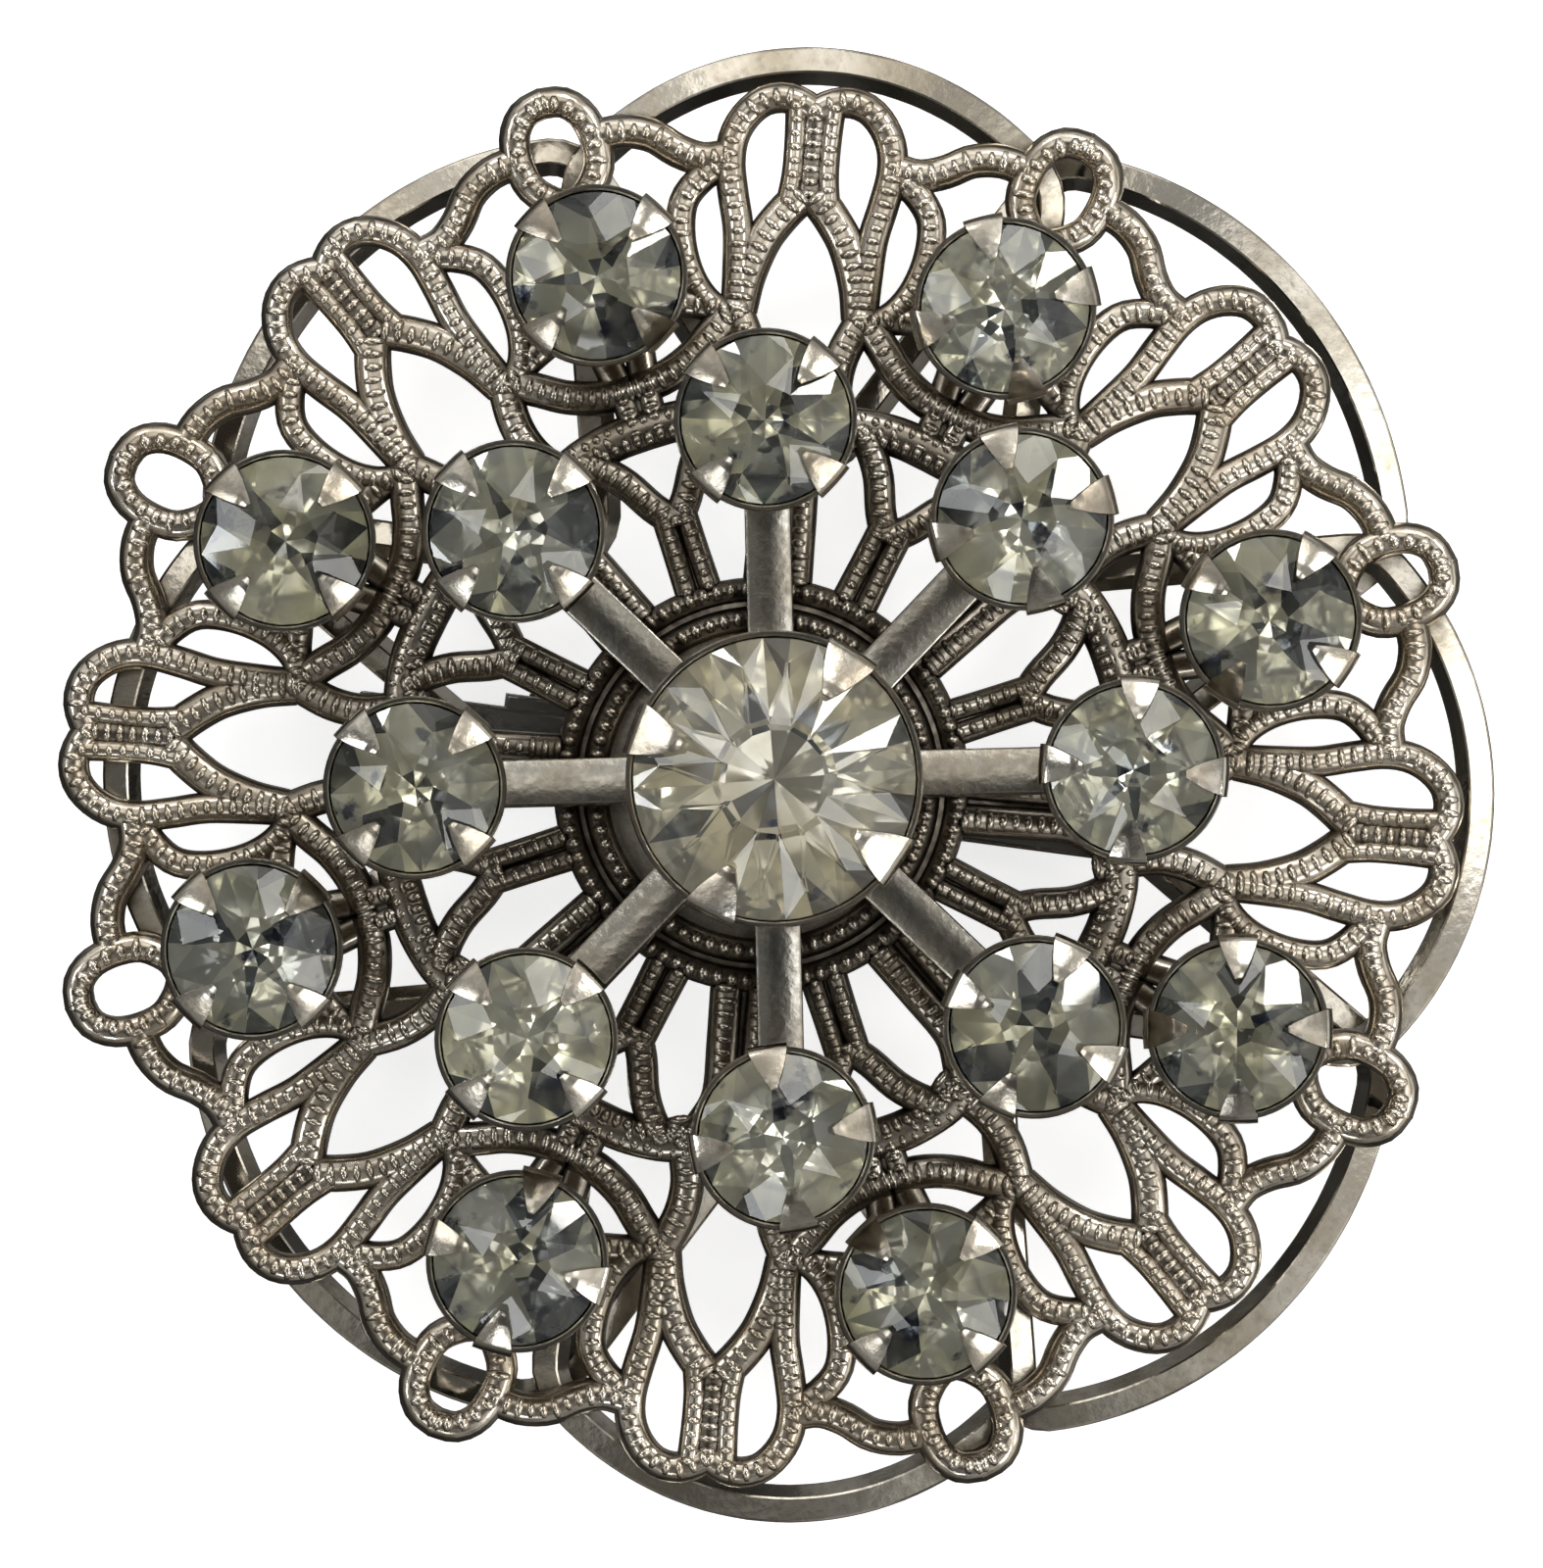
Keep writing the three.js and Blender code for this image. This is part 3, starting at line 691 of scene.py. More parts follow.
def setting(size, claws, lift):
    """A cup with a thin rim, and the claws bent over."""
    shell = Shell()
    bore = size["radius"] + CUP_CLEARANCE
    rim = bore + CUP_WALL
    girdle = lift + size["girdle"]
    rim_top = girdle + size["edge"] + 0.10
    bed = lift - CUP_FLOOR
    slope = size["girdle"] / size["radius"]
    lathe(
        shell,
        [
            (0, 0),
            (size["foot"] - 0.12, 0),
            (size["foot"], 0.12),
            (size["foot"] + 0.15, 0.35),
            (rim - 0.18, girdle - 0.75),
            (rim - 0.03, girdle - 0.5),
            (rim, girdle - 0.35),
            (rim, rim_top - 0.05),
            (rim - 0.05, rim_top),
            (bore + 0.05, rim_top),
            (bore, rim_top - 0.05),
            (bore, bed + slope * bore),
            (0, bed),
        ],
        64,
    )
    for degrees in claws:
        claw(shell, size, degrees, lift)
    return shell


def add_stone(label, number, size, claws, turn, glass, backing, glass_slot):
    """One stone and its setting, in the places of the CAD's pair."""
    node = f"{label}_stone{number}"
    low, high = box_mm(node)
    foot = box_mm(f"{label}_setting{number}")[0][2]
    at = ((low[0] + high[0]) / 2, (low[1] + high[1]) / 2)
    stone = Shell()
    stone.place(cut_stone(size), turn + draws.uniform(0, 45), (*at, low[2]))
    stone.piece(f"{label}_cut_stone{number}", [glass, *backing], glass_slot, [node], sharp=0)
    cup = Shell()
    cup.place(setting(size, claws, low[2] - foot), turn, (*at, foot))
    cup.piece(f"{label}_claw_cup{number}", [SETTING_METAL], "setting_metal", [f"{label}_setting{number}"])


SMALL_CLAWS = (0, 90, 180, 270)
LARGE_CLAWS = (58, 160, 244, 326)
INNER_TURNS = [-4, 15, 48, 45, 45, 45, 10, -25]
OUTER_TURNS = [57, 14, 47, 45, 45, 74, 45, 0]
for ring, turns in (("inner", INNER_TURNS), ("outer", OUTER_TURNS)):
    for k, turn in enumerate(turns):
        add_stone(ring, f"_{k + 1}", SMALL, SMALL_CLAWS, turn, STONE_GLASS, STONE_FOILS, "stone_glass")
add_stone("centre", "", LARGE, LARGE_CLAWS, 0, CENTRE_GLASS, CENTRE_FOILS, "centre_glass")


# ---- the openwork flower ----
# The beading of a strand: the rows across it, then each bead's share of the width, its pitch and height.

STRAND_SWELL = 1.3  # how much wider the cast strands are than their middle lines' listed widths
SINGLE = ((0.0,), 0.64, 0.45, 0.23)
DOUBLE = ((-0.3, 0.3), 0.38, 0.45, 0.22)
COARSE = ((-0.1,), 0.72, 0.58, 0.28)
SMOOTH = None

# Half of one repeat, as (across, out) from the axis of a fan or of a small ring.
# A strand is its points, its width, its height and its beading.

FAN_STRANDS = [
    ([(0.66, 23.65), (0.60, 22.5), (0.60, 21.3), (0.72, 20.3)], 0.62, 0.92, SINGLE),
    ([(0.0, 23.7), (0.0, 22.5), (0.0, 20.6)], 0.90, 0.78, SINGLE),
    ([(0.0, 11.5), (0.0, 9.5), (0.0, 7.1)], 0.60, 0.50, SMOOTH),
    ([(0.30, 20.5), (0.88, 19.8), (1.45, 18.9), (1.90, 17.6), (2.10, 16.4)], 1.0, 0.88, SINGLE),
    (
        [(0.10, 23.55), (0.55, 23.8), (1.15, 23.92), (1.85, 23.72), (2.42, 23.15), (2.76, 22.4)]
        + [(2.82, 21.5), (2.62, 20.4), (2.35, 19.2), (2.25, 17.8), (2.20, 16.4)],
        0.84,
        0.94,
        SINGLE,
    ),
    (
        [(2.95, 21.5), (3.75, 20.9), (4.32, 20.0), (4.30, 18.7), (3.85, 17.4), (3.10, 16.5), (2.2, 16.2)],
        0.80,
        0.86,
        SINGLE,
    ),
    (
        [(2.95, 21.7), (3.80, 21.55), (4.70, 21.78), (5.60, 22.22), (6.60, 22.3), (7.50, 22.05)],
        0.92,
        0.92,
        SINGLE,
    ),
    ([(2.25, 16.4), (2.95, 15.5), (3.60, 14.6), (4.45, 13.85), (5.40, 13.35)], 0.92, 0.90, SINGLE),
    ([(2.25, 16.3), (3.40, 16.45), (4.60, 16.5), (6.20, 16.9)], 0.78, 0.80, SINGLE),
    ([(2.10, 16.2), (1.62, 15.1), (1.45, 14.0), (1.62, 12.9), (1.90, 11.8)], 0.92, 0.86, SINGLE),
    ([(1.62, 12.6), (1.05, 11.8), (0.62, 10.8), (0.60, 9.0), (0.62, 7.1)], 0.90, 0.88, SINGLE),
    ([(1.75, 12.2), (2.45, 12.4), (3.60, 12.4)], 0.90, 0.84, SINGLE),
]
RING_STRANDS = [
    (
        [(0.15, 21.2), (0.75, 21.6), (1.28, 22.3), (1.40, 23.3)]
        + [(1.22, 24.15), (0.70, 24.75), (-0.12, 24.93)],
        0.84,
        0.95,
        COARSE,
    ),
    ([(0.0, 12.95), (1.20, 12.9), (2.50, 12.6), (3.3, 12.2)], 1.1, 0.86, DOUBLE),
    ([(0.05, 9.6), (0.62, 10.3), (1.25, 11.35), (1.95, 12.1), (2.60, 12.5)], 0.84, 0.90, SINGLE),
    ([(0.38, 10.0), (0.38, 8.6), (0.40, 7.1)], 0.66, 0.86, SINGLE),
    ([(0.0, 10.0), (0.0, 8.6), (0.0, 7.1)], 0.50, 0.62, SMOOTH),
    ([(0.50, 14.5), (0.42, 13.8), (0.40, 12.9)], 0.70, 0.86, SINGLE),
    ([(0.0, 14.5), (0.0, 13.8), (0.0, 12.9)], 0.60, 0.66, SMOOTH),
    ([(0.40, 14.3), (0.60, 15.6), (0.80, 17.0)], 0.84, 0.78, SMOOTH),
    ([(0.35, 21.4), (0.55, 20.4), (0.60, 19.5)], 0.84, 0.78, SMOOTH),
]
FAN_BOSSES = [(2.2, 16.35, 0.62), (2.95, 21.6, 0.52), (1.7, 12.5, 0.5)]
RING_BOSSES = [(0.55, 14.4, 0.5), (2.4, 12.45, 0.5)]
BOSS_LIFT = 0.55
FAN_BOSS_HEIGHT = 0.45
RING_BOSS_HEIGHT = 0.42
HUB_EDGE = 7.2
RIDGES = ((6.8, 84), (5.76, 70))  # radius and number of beads
SEAT_RADIUS = 1.7
SEAT_TOP = 1.95
OUTER_STONE_RADIUS = 18.5


def strand_section(width, height):
    """A flat-bottomed half round."""
    half = width / 2
    side = [(1.0, 0.0), (1.0, 0.38), (0.89, 0.68), (0.64, 0.88), (0.26, 0.98)]
    right = [(half * u, height * v) for u, v in side]
    return right + [(-u, v) for u, v in reversed(right)]


def add_strand(shell, points, width, height, beading):
    """A strand laid over the dome, with its beads."""
    width *= STRAND_SWELL
    line = even_line(points, 0.3)
    lift = draws.uniform(0, 0.03)
    draped = [(x, y, FILIGREE_Z + dome(math.hypot(x, y)) + lift) for x, y in line]
    upright_sweep(shell, draped, strand_section(width, height))
    if not beading:
        return
    rows, share, pitch, tall = beading
    spots = resample(line, pitch)
    for (x, y), (dx, dy) in zip(spots, directions(spots)):
        for row in rows:
            offset = row + draws.uniform(-0.03, 0.03)
            u = x + dy * offset
            v = y - dx * offset
            z = FILIGREE_Z + dome(math.hypot(u, v)) + lift + height * 0.89
            wide = width * share * draws.uniform(0.82, 1.12)
            long = pitch * draws.uniform(0.74, 0.90)
            bead(shell, (u, v, z), (dx, dy), long, wide, tall * draws.uniform(0.7, 1.1))


def add_bosses(shell, bosses, height):
    """Low round lumps where strands meet."""
    for x, y, radius in bosses:
        z = FILIGREE_Z + dome(math.hypot(x, y)) + BOSS_LIFT
        bead(shell, (x, y, z), (0, 1), 2 * radius, 2 * radius, height)


def mirrored(shell):
    """A copy of a shell, mirrored across X."""
    made = Shell()
    made.place(shell)
    made.points = [(-x, y, z) for x, y, z in made.points]
    return made


def half_repeat():
    """Everything from the axis of a fan to the axis of the next small ring, with the fan along +Y."""
    half = Shell()
    for strand in FAN_STRANDS:
        add_strand(half, *strand)
    add_bosses(half, FAN_BOSSES, FAN_BOSS_HEIGHT)
    beside = Shell()
    for strand in RING_STRANDS:
        add_strand(beside, *strand)
    add_bosses(beside, RING_BOSSES, RING_BOSS_HEIGHT)
    half.place(mirrored(beside), -SECTOR / 2)
    return half


def add_hub(shell):
    """Two thick beaded rings round a flat seat for the star."""
    seat = FILIGREE_HIGH[2]
    ridges = [(HUB_EDGE, 0.05), (HUB_EDGE, 0.5), (7.08, 0.78), (6.8, 0.92), (6.52, 0.78), (6.36, 0.42)]
    ridges += [(6.2, 0.42), (6.04, 0.78), (5.76, 0.92), (5.48, 0.78), (5.32, 0.42), (5.1, 0.36)]
    profile = [(r, FILIGREE_Z + dome(r) + rise) for r, rise in ridges]
    profile += [(3.7, seat - 0.5), (3.5, seat), (1.4, seat), (1.4, seat - 0.9), (4.0, seat - 1.1)]
    profile += [(7.0, FILIGREE_Z + dome(7.0))]
    lathe(shell, profile, 96)
    for radius, count in RIDGES:
        for j in range(count):
            a = 2 * math.pi * j / count
            at = (radius * math.cos(a), radius * math.sin(a), FILIGREE_Z + dome(radius) + 0.86)
            pitch = 2 * math.pi * radius / count
            bead(shell, at, (-math.sin(a), math.cos(a)), pitch * 0.9, draws.uniform(0.48, 0.58), 0.19)


def add_seats(shell):
    """The stepped round seats that the outer settings stand on."""
    base = FILIGREE_Z + dome(OUTER_STONE_RADIUS)
    top = FILIGREE_Z + SEAT_TOP
    profile = [(0, base), (2.2, base), (2.35, base + 0.2), (2.35, base + 0.6), (2.15, base + 0.8)]
    profile += [(SEAT_RADIUS, base + 0.86), (SEAT_RADIUS, top - 0.05), (SEAT_RADIUS - 0.05, top), (0, top)]
    for k in range(8):
        x, y = turned_point(OUTER_STONE_RADIUS, 0, RING_ANGLE + SECTOR * k)
        lathe(shell, profile, 24, (x, y, 0))


def make_filigree():
    flower = Shell()
    half = half_repeat()
    other = mirrored(half)
    for k in range(8):
        flower.place(half, FAN_ANGLE - 90 + SECTOR * k)
        flower.place(other, FAN_ANGLE - 90 + SECTOR * k)
    add_hub(flower)
    add_seats(flower)
    whole = Shell()
    whole.place(flower, 0, (*MIDDLE, 0))
    whole.piece("openwork_flower", [FILIGREE_METAL], "filigree_metal", ["filigree"], sharp=50)


make_filigree()


# ---- star ----

ARM_HALF = 0.8
ARM_START, ARM_END, ARM_STEP = 2.8, 11.6, 0.4
ARM_BOW = 0.05
PAD_RADIUS = 1.7
HUB_RADIUS = 3.4
INNER_STONE_RADIUS = 12.35
STAR_EDGE = 0.13
ARM_LEANS = [-0.19, 0.01, -0.01, 0.01, 0.19, 0.19, 0.0, 0.05]


def add_arm(shell, lean, bottom, tall):
    """One arm along +X, leaning a little to one side along its middle, as if bent by hand."""
    e = STAR_EDGE
    half = [(0, tall), (ARM_HALF - e, tall), (ARM_HALF - e * 0.3, tall - e * 0.3), (ARM_HALF, tall - e)]
    half += [(ARM_HALF, e), (ARM_HALF - e * 0.3, e * 0.3), (ARM_HALF - e, 0)]
    section = half + [(-v, z) for v, z in reversed(half[1:])]
    stations = np.arange(ARM_START, ARM_END, ARM_STEP)
    points = []
    for out in stations:
        near_hub = min(1, max(0, (out - HUB_RADIUS) / 1.6))
        near_pad = min(1, max(0, (INNER_STONE_RADIUS - out) / 3))
        roll = lean * near_hub * near_pad
        bow = ARM_BOW * math.sin(math.pi * near_hub * near_pad)
        points.extend((out, v - z * roll, bottom + z + v * roll + bow) for v, z in section)
    shell.add(points, tube_faces(len(stations), len(section), False))


def make_star():
    """A round middle, eight round pads and the arms between them."""
    low, high = box_mm("star")
    bottom, top = low[2], high[2]
    e = STAR_EDGE
    flat = Shell()
    discs = [(HUB_RADIUS, 0, 0)] + [(PAD_RADIUS, INNER_STONE_RADIUS, SECTOR * k) for k in range(8)]
    for radius, out, turn in discs:
        rim = [(radius - e, bottom), (radius - e * 0.3, bottom + e * 0.3), (radius, bottom + e)]
        rim += [(radius, top - e), (radius - e * 0.3, top - e * 0.3), (radius - e, top)]
        disc = Shell()
        lathe(disc, [(0, bottom)] + rim + [(radius - 1.5 * e, top), (0, top)], 40, (out, 0, 0))
        flat.place(disc, turn)
    for k, lean in enumerate(ARM_LEANS):
        arm = Shell()
        add_arm(arm, lean, bottom, top - bottom)
        flat.place(arm, SECTOR * k)
    star = Shell()
    star.place(flat, STAR_ANGLE, (*STAR_AT, 0))
    star.piece("eight_armed_star", [STAR_METAL], "star_metal", ["star"], sharp=25)


make_star()


# ---- flat-wire loops ----

LOBES = 4
UPPER_LOBE = dict(centre=13.2, radius=11.3, half=45)
LOWER_LOBE = dict(centre=10.7, radius=13.8, half=36)
CORNER_RADIUS = 2.0
DIP_CENTRE = 12.8
DIP_RADIUS = 1.6
ARC_POINTS = 24
LOOP_STEP = 0.5


def loop_line(lobe):
    """The middle line of one loop, anticlockwise, with a petal along +X."""
    half = math.radians(lobe["half"])
    inset = lobe["radius"] - CORNER_RADIUS
    corner = (lobe["centre"] + inset * math.cos(half), inset * math.sin(half))
    dip = turned_point(DIP_CENTRE, 0, 180 / LOBES)
    across, up = dip[0] - corner[0], dip[1] - corner[1]
    side = math.atan2(up, across) - math.acos((CORNER_RADIUS + DIP_RADIUS) / math.hypot(across, up))
    inward = math.pi + math.pi / LOBES
    dip_half = side - math.pi / LOBES
    arcs = [
        ((corner[0], -corner[1]), CORNER_RADIUS, -side, -half),
        ((lobe["centre"], 0), lobe["radius"], -half, half),
        (corner, CORNER_RADIUS, half, side),
        (dip, DIP_RADIUS, inward + dip_half, inward - dip_half),
    ]
    points = []
    for k in range(LOBES):
        for (x, y), radius, start, end in arcs:
            for a in np.linspace(start, end, ARC_POINTS):
                at = (x + radius * math.cos(a), y + radius * math.sin(a))
                points.append(turned_point(*at, 360 / LOBES * k))
    return resample(np.array(points + points[:1]), LOOP_STEP, closed=True)


def ribbon_section(tall):
    """Flat wire on its edge, sloping down inwards from its top."""
    outer = [(0.41, 0.0), (0.48, 0.07), (0.48, tall - 0.24), (0.45, tall - 0.17), (0.39, tall - 0.13)]
    inner = [(-0.34, tall), (-0.41, tall - 0.02), (-0.80, tall - 0.62), (-0.81, 0.07), (-0.74, 0.0)]
    return inner[-1:] + outer + inner[:-1]


def make_loop(node, lobe, angle):
    """One loop, slightly narrower along X than along Y."""
    low, high = box_mm(node)
    line = []
    for x, y in loop_line(lobe):
        u, v = turned_point(x, y, angle)
        line.append((FRAME_AT[0] + u * FRAME_SCALE[0], FRAME_AT[1] + v * FRAME_SCALE[1], low[2]))
    loop = Shell()
    upright_sweep(loop, line, ribbon_section(high[2] - low[2]), closed=True)
    loop.piece(node.replace("frame_loop", "ribbon_loop"), [RIBBON_METAL], "frame_metal", [node], sharp=22)


make_loop("frame_loop_upper", UPPER_LOBE, FRAME_ANGLE)
make_loop("frame_loop_lower", LOWER_LOBE, FRAME_ANGLE + SECTOR)


# ---- spring clip ----
# Drawn along its own X, then turned with the bar.

BAR_LOW, BAR_HIGH = 3.3, 4.0
BAR_HALF_LENGTH = 14.5
BAR_HALF_WIDTH = 1.3
JAW_HALF_WIDTH = 1.2
JAW_THICKNESS = 0.7
PIN_X, PIN_Z, PIN_RADIUS = -8.5, 1.95, 0.4
EAR_INNER = 1.32
EAR_THICKNESS = 0.45
EAR_HALF = 1.2
SHOULDER_INNER = 1.1
PIN_REACH = EAR_INNER + EAR_THICKNESS + 0.15
KNUCKLE_RADIUS = 0.95
SLOT_HALF = 0.6
SLOT_REACH = 1.3
GRIPS = 4
GRIP_START, GRIP_STEP, GRIP_RADIUS = -14.0, 0.55, 0.11
JAW_LINE = [(-14.8, 0.35), (-12.6, 0.75), (-8.5, 1.95), (-6.2, 0.75), (-4.6, 0.35), (-4.0, 0.35)]
JAW_LINE += [(8.8, 0.35), (9.4, 0.35), (12.2, 1.3), (14.2, 2.85)]


def on_clip(part):
    """A part drawn along the clip's own X, turned and moved to its place."""
    made = Shell()
    made.place(part, CLIP_ANGLE, (*STAR_AT, 0))
    return made


def stood_up(part):
    """Turns a part drawn in X and Y up into X and Z; its heights run along -Y."""
    made = Shell()
    made.add([(x, -z, y) for x, y, z in part.points], part.faces)
    return made


def strip_outline(line, thickness):
    """The outline of a bent strip seen from its side."""
    line = np.array(line)
    along = directions(line)
    out = np.c_[along[:, 1], -along[:, 0]] * thickness / 2
    return np.vstack([line + out, (line - out)[::-1]])


def bar_outline():
    """A strip with round ends."""
    straight = BAR_HALF_LENGTH - BAR_HALF_WIDTH
    outline = []
    for side, start in ((1, -90), (-1, 90)):
        for turn in range(0, 181, 15):
            x, y = turned_point(BAR_HALF_WIDTH, 0, start + turn)
            outline.append((side * straight + x, y))
    return outline


def ear_outline():
    """An ear seen from its side, round below and straight up to the bar."""
    round_end = []
    for a in np.linspace(math.pi, 2 * math.pi, 15)[1:-1]:
        round_end.append((PIN_X + EAR_HALF * math.cos(a), PIN_Z + EAR_HALF * math.sin(a)))
    left, right = PIN_X - EAR_HALF, PIN_X + EAR_HALF
    root = BAR_HIGH - 0.1
    return [(left, root), (left, PIN_Z)] + round_end + [(right, PIN_Z), (right, root)]


def make_bar():
    """The flat bar with an ear on each side, on shoulders."""
    bar = Shell()
    slab(bar, bar_outline(), BAR_LOW, BAR_HIGH, 0.14)
    left, right = PIN_X - EAR_HALF, PIN_X + EAR_HALF
    for side in (-1, 1):
        far = side * (EAR_INNER + EAR_THICKNESS)
        ear = Shell()
        slab(ear, ear_outline(), *sorted((side * EAR_INNER, far)), 0.1)
        bar.place(stood_up(ear))
        inner, outer = sorted((side * SHOULDER_INNER, far))
        corners = [(left, inner), (right, inner), (right, outer), (left, outer)]
        shoulder = Shell()
        slab(shoulder, corners, BAR_LOW + 0.02, BAR_HIGH - 0.02, 0.12)
        bar.place(shoulder)
    on_clip(bar).piece("clip_top_bar", [CLIP_METAL], "clip_steel", ["clip_bar"], sharp=30)


def make_jaw():
    """The bent strip, with a slot for the spring between its two knuckles and grips on its finger tab."""
    line = eased_line(JAW_LINE, 0.2, 1.4)
    from_pin = line[:, 0] - PIN_X
    whole = [(-JAW_HALF_WIDTH, JAW_HALF_WIDTH)]
    beside_slot = [(-JAW_HALF_WIDTH, -SLOT_HALF), (SLOT_HALF, JAW_HALF_WIDTH)]
    lap = 0.3
    parts = [
        (line[from_pin < lap - SLOT_REACH], whole),
        (line[from_pin > SLOT_REACH - lap], whole),
        (line[abs(from_pin) < SLOT_REACH + 0.2], beside_slot),
    ]
    jaw = Shell()
    for piece, spans in parts:
        for low, high in spans:
            flat = Shell()
            slab(flat, strip_outline(piece, JAW_THICKNESS), low, high, 0.12)
            jaw.place(stood_up(flat))
    r = KNUCKLE_RADIUS
    edge = 0.08
    bore = PIN_RADIUS + 0.08
    for low, high in beside_slot:
        knuckle = Shell()
        profile = [(bore, low), (r - edge, low), (r, low + edge)]
        profile += [(r, high - edge), (r - edge, high), (bore, high)]
        lathe(knuckle, profile, 32, (PIN_X, PIN_Z, 0))
        jaw.place(stood_up(knuckle))
    for j in range(GRIPS):
        x = GRIP_START + GRIP_STEP * j
        z = np.interp(x, line[:, 0], line[:, 1]) - JAW_THICKNESS / 2 + 0.02
        wire(jaw, [(x, y, z) for y in (-0.9, -0.3, 0.3, 0.9)], GRIP_RADIUS)
    on_clip(jaw).piece("clip_lower_jaw", [CLIP_METAL], "clip_steel", ["clip_jaw"], body=JAW, sharp=30)


def make_pin():
    """The hinge's pin, with softened ends."""
    r = PIN_RADIUS
    end = [(0, PIN_REACH), (r - 0.1, PIN_REACH), (r, PIN_REACH - 0.08)]
    profile = end + [(r, 0)] + [(a, -b) for a, b in reversed(end)]
    pin = Shell()
    lathe(pin, profile, 24, (PIN_X, PIN_Z, 0))
    on_clip(stood_up(pin)).piece("round_hinge_pin", [CLIP_METAL], "clip_steel", ["hinge_pin"], sharp=30)


SPRING_WIRE = 0.14
SPRING_COIL = 0.68
SPRING_TURNS = 2.75
SPRING_PITCH = 0.34
SPRING_STEPS = 12  # points in a turn
SPRING_LEG = 3.0
SPRING_KNEE = 1.4


def make_spring():
    """The coil and its upper leg stay with the bar; the lower leg is a loose piece on no body."""
    half = SPRING_TURNS * SPRING_PITCH / 2
    points = [(PIN_X - SPRING_LEG, -half, PIN_Z + SPRING_COIL + 0.3)]
    for i in range(int(SPRING_TURNS * SPRING_STEPS) + 1):
        a = math.pi / 2 - 2 * math.pi * i / SPRING_STEPS
        across = -half + SPRING_PITCH * i / SPRING_STEPS
        points.append((PIN_X + SPRING_COIL * math.cos(a), across, PIN_Z + SPRING_COIL * math.sin(a)))
    coil = Shell()
    wire(coil, eased_line(points, 0.08, 0.3), SPRING_WIRE, 10)
    on_clip(coil).piece("spring_coil", [CLIP_METAL], "clip_steel", ["clip_spring"], sharp=60)
    knee = [points[-1], (PIN_X - SPRING_KNEE, half, PIN_Z + 0.3), (PIN_X - SPRING_LEG, half, PIN_Z - 0.28)]
    leg = Shell()
    wire(leg, eased_line(knee, 0.08, 0.4), SPRING_WIRE, 10)
    made = on_clip(leg).piece("spring_leg", [CLIP_METAL], "clip_steel", body=None, sharp=60)
    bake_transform(made)


make_bar()
make_jaw()
make_pin()
make_spring()


# ---- rivet and spacer ----

RIVET_RADIUS, RIVET_TOP = 0.8, 12.3
TUBE_BORE, TUBE_RADIUS, TUBE_EDGE = 0.86, 1.35, 0.08


def make_post():
    """The rivet, with its round head under the bar, and the spacer tube round it."""
    rivet = Shell()
    head = [(0, 2.85), (0.6, 2.87), (0.95, 2.95), (1.12, 3.08), (1.15, 3.25)]
    shank = [(RIVET_RADIUS, 3.25), (RIVET_RADIUS, RIVET_TOP - 0.05), (RIVET_RADIUS - 0.05, RIVET_TOP)]
    lathe(rivet, head + shank + [(0, RIVET_TOP)], 32, (*STAR_AT, 0))
    rivet.piece("round_rivet", [CLIP_METAL], "clip_steel", ["centre_rivet"], sharp=30)
    low, high = (corner[2] for corner in box_mm("spacer_tube"))
    r, e = TUBE_RADIUS, TUBE_EDGE
    tube = Shell()
    wall = [(TUBE_BORE, low), (r - e, low), (r, low + e), (r, high - e), (r - e, high), (TUBE_BORE, high)]
    lathe(tube, wall, 32, (*STAR_AT, 0))
    tube.piece("round_spacer", [CLIP_METAL], "clip_steel", ["spacer_tube"], sharp=30)


make_post()


# ---- floor, light and camera ----

FLOOR_HALF = 3.0  # metres


def make_floor():
    """A white sheet that glows a little, and isn't seen in the metal's reflections."""
    mesh = bpy.data.meshes.new("floor")
    h = FLOOR_HALF
    corners = [(-h, -h, 0), (h, -h, 0), (h, h, 0), (-h, h, 0)]
    mesh.from_pydata(corners, [], [(0, 1, 2, 3)])
    material, nodes, links, shader = new_material("floor_white")
    shader.inputs["Base Color"].default_value = (0.93, 0.93, 0.925, 1)
    shader.inputs["Roughness"].default_value = 0.9
    shader.inputs["Emission Color"].default_value = (1, 1, 1, 1)
    shader.inputs["Emission Strength"].default_value = 0.75
    mesh.materials.append(material)
    floor = bpy.data.objects.new("floor", mesh)
    floor.visible_glossy = False
    bpy.context.scene.collection.objects.link(floor)


def make_sky():
    """A studio tent in patches, darker overhead and below, paler to the upper right."""
    world = bpy.data.worlds.new("studio")
    bpy.context.scene.world = world
    world.use_nodes = True
    nodes, links = world.node_tree.nodes, world.node_tree.links
    place = nodes.new("ShaderNodeTexCoord")
    split = nodes.new("ShaderNodeSeparateXYZ")
    links.new(place.outputs["Generated"], split.inputs["Vector"])
    overhead = add_range(nodes, links, split.outputs["Z"], 0.93, 0.992, 1.0, 0.10)
    below = add_range(nodes, links, split.outputs["Z"], -0.1, 0.3, 0.15, 1.0)
    lean = add_math(nodes, links, "ADD", split.outputs["X"], split.outputs["Y"])
    bias = add_range(nodes, links, lean, -0.5, 0.5, 0.22, 1.0)
    patch = nodes.new("ShaderNodeTexNoise")
    patch.inputs["Scale"].default_value = 3.0
    links.new(place.outputs["Generated"], patch.inputs["Vector"])
    cloud = add_range(nodes, links, patch.outputs["Fac"], 0.42, 0.6, 0.35, 1.6)
    level = add_math(nodes, links, "MULTIPLY", overhead, bias)
    level = add_math(nodes, links, "MULTIPLY", level, below)
    level = add_math(nodes, links, "MULTIPLY", level, cloud)
    links.new(level, nodes["Background"].inputs["Strength"])
    nodes["Background"].inputs["Color"].default_value = (1.0, 0.985, 0.95, 1)


# Each soft box: its place and its side in metres, its brightness and its colour.

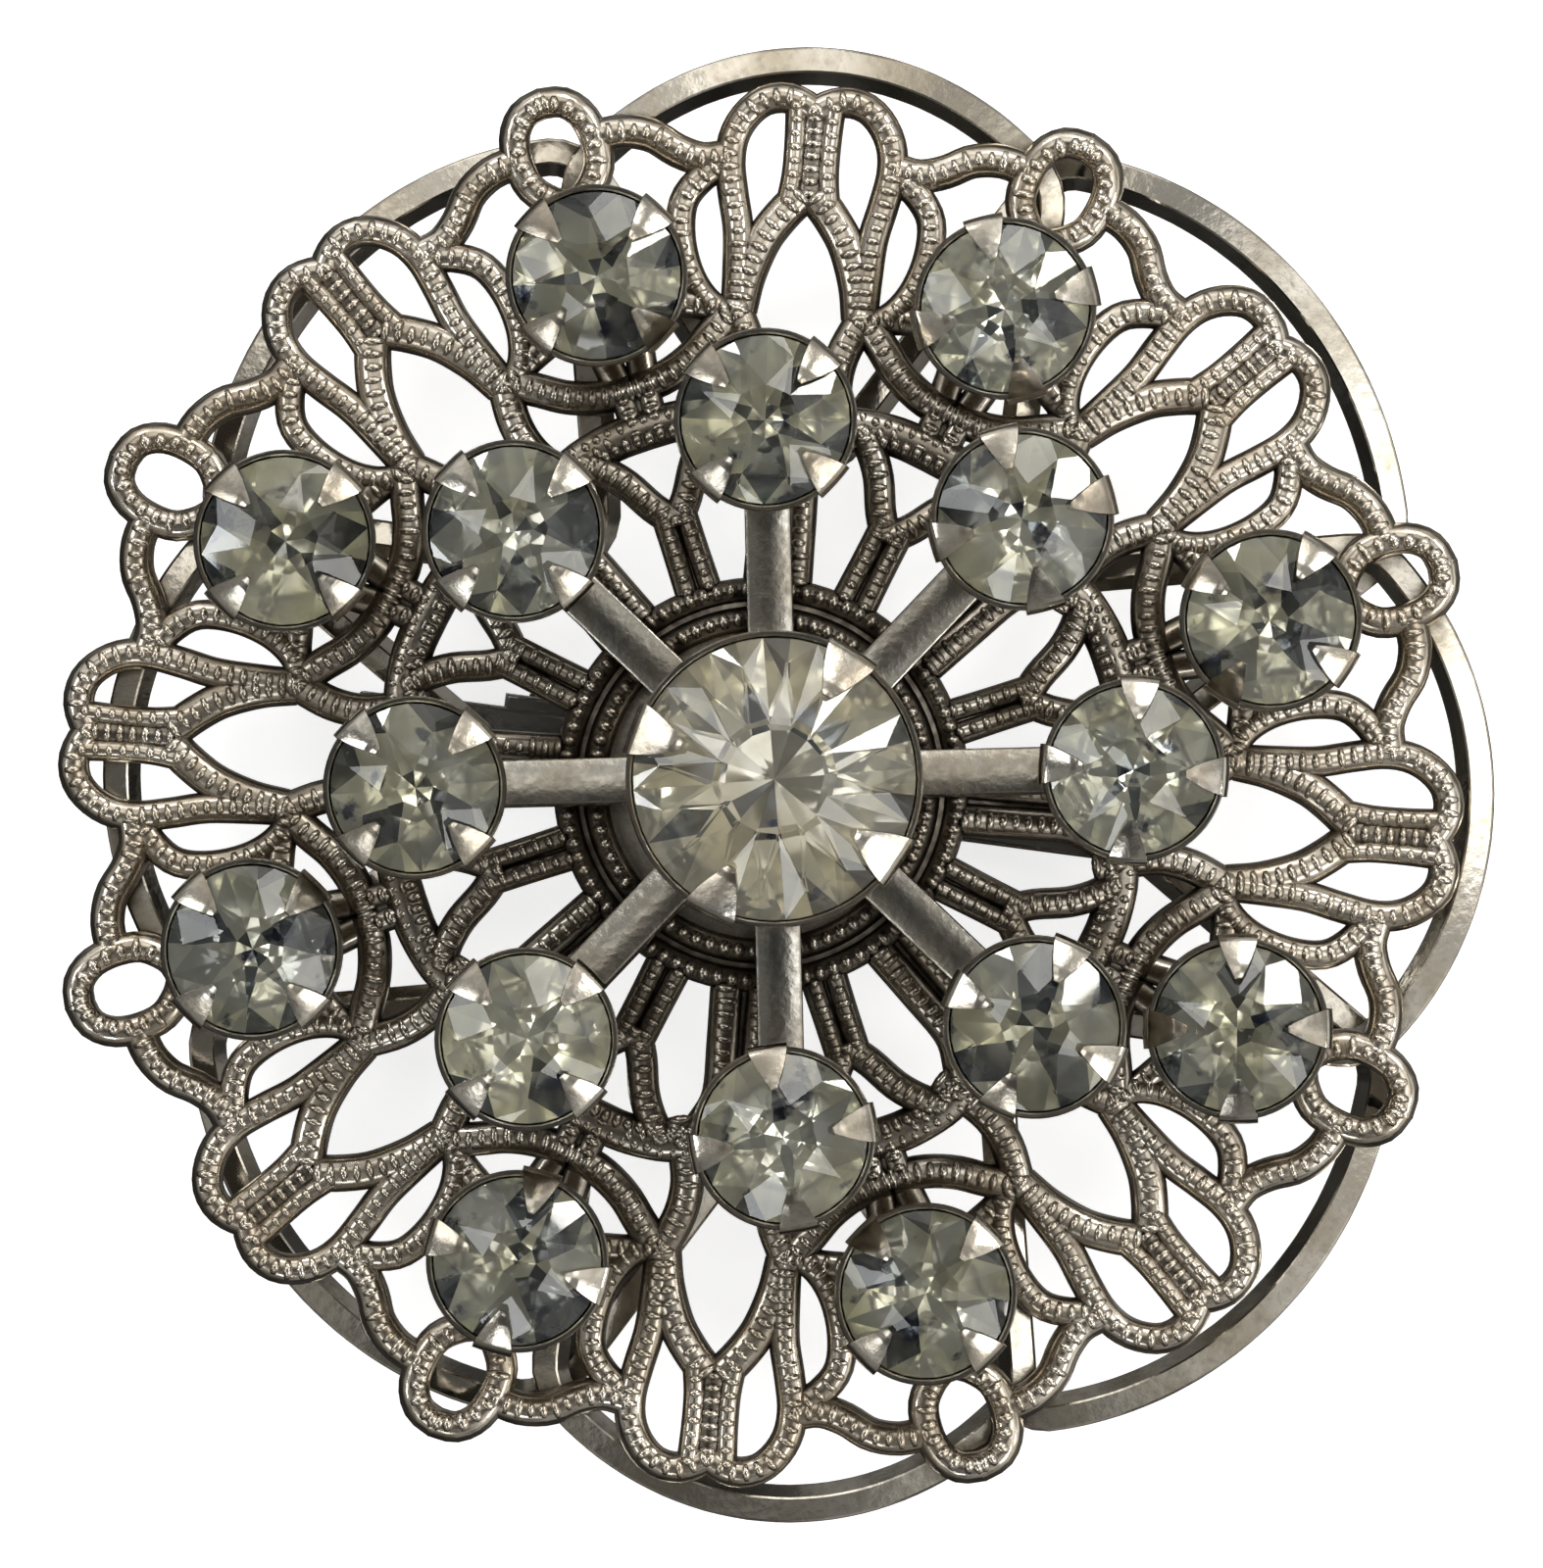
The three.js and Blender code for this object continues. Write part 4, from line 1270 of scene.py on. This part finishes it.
SOFT_BOXES = [
    ((0.18, 0.02, 0.47), 0.13, 1.7, (1, 1, 1)),
    ((0.00, 0.17, 0.47), 0.14, 0.9, (1, 0.96, 0.88)),
    ((-0.135, 0.13, 0.46), 0.09, 1.1, (1, 0.97, 0.92)),
    ((0.33, 0.28, 0.38), 0.09, 22, (1, 0.98, 0.94)),
    ((-0.18, 0.42, 0.30), 0.06, 24, (1, 1, 1)),
    ((0.46, -0.12, 0.25), 0.06, 20, (1, 0.97, 0.92)),
    ((-0.42, -0.04, 0.32), 0.06, 14, (0.94, 0.97, 1)),
    ((-0.08, -0.38, 0.34), 0.08, 6, (0.96, 0.98, 1)),
    ((0.30, -0.22, 0.36), 0.14, 4.5, (1, 0.99, 0.96)),
    ((-0.33, 0.14, 0.38), 0.14, 4.5, (0.97, 0.99, 1)),
    ((0.10, 0.36, 0.34), 0.14, 4.5, (1, 0.99, 0.96)),
    ((-0.22, -0.24, 0.40), 0.10, 3.5, (0.97, 0.99, 1)),
]


def add_soft_box(name, at, size, glow, color):
    """A square light aimed at the middle of the object."""
    data = bpy.data.lights.new(name, "AREA")
    data.size = size
    data.energy = glow * math.pi * size**2
    data.color = color
    light = bpy.data.objects.new(name, data)
    light.location = at
    light.rotation_euler = (-Vector(at)).to_track_quat("-Z", "Y").to_euler()
    bpy.context.scene.collection.objects.link(light)


CAMERA_OVER = (-0.17, 0.03, 9.0)  # the point that the camera looks straight down at
CAMERA_DISTANCE = 600.0
FIELD_HEIGHT = 54.4  # of what the picture shows, at that point
SENSOR_HEIGHT = 24.0


def make_camera():
    """A long lens that looks straight down."""
    data = bpy.data.cameras.new("camera")
    camera = bpy.data.objects.new("camera", data)
    data.sensor_fit = "VERTICAL"
    data.sensor_height = SENSOR_HEIGHT
    data.lens = SENSOR_HEIGHT * CAMERA_DISTANCE / FIELD_HEIGHT
    data.clip_start = 0.01
    data.clip_end = 20
    x, y, z = CAMERA_OVER
    camera.location = (x * MM, y * MM, (z + CAMERA_DISTANCE) * MM)
    bpy.context.scene.collection.objects.link(camera)
    bpy.context.scene.camera = camera


make_floor()
make_sky()
for number, soft_box in enumerate(SOFT_BOXES, 1):
    add_soft_box(f"softbox_{number}", *soft_box)
make_camera()
scene = bpy.context.scene
scene.view_settings.view_transform = "Standard"
scene.cycles.max_bounces = 16
scene.cycles.glossy_bounces = 10
scene.cycles.transmission_bounces = 14
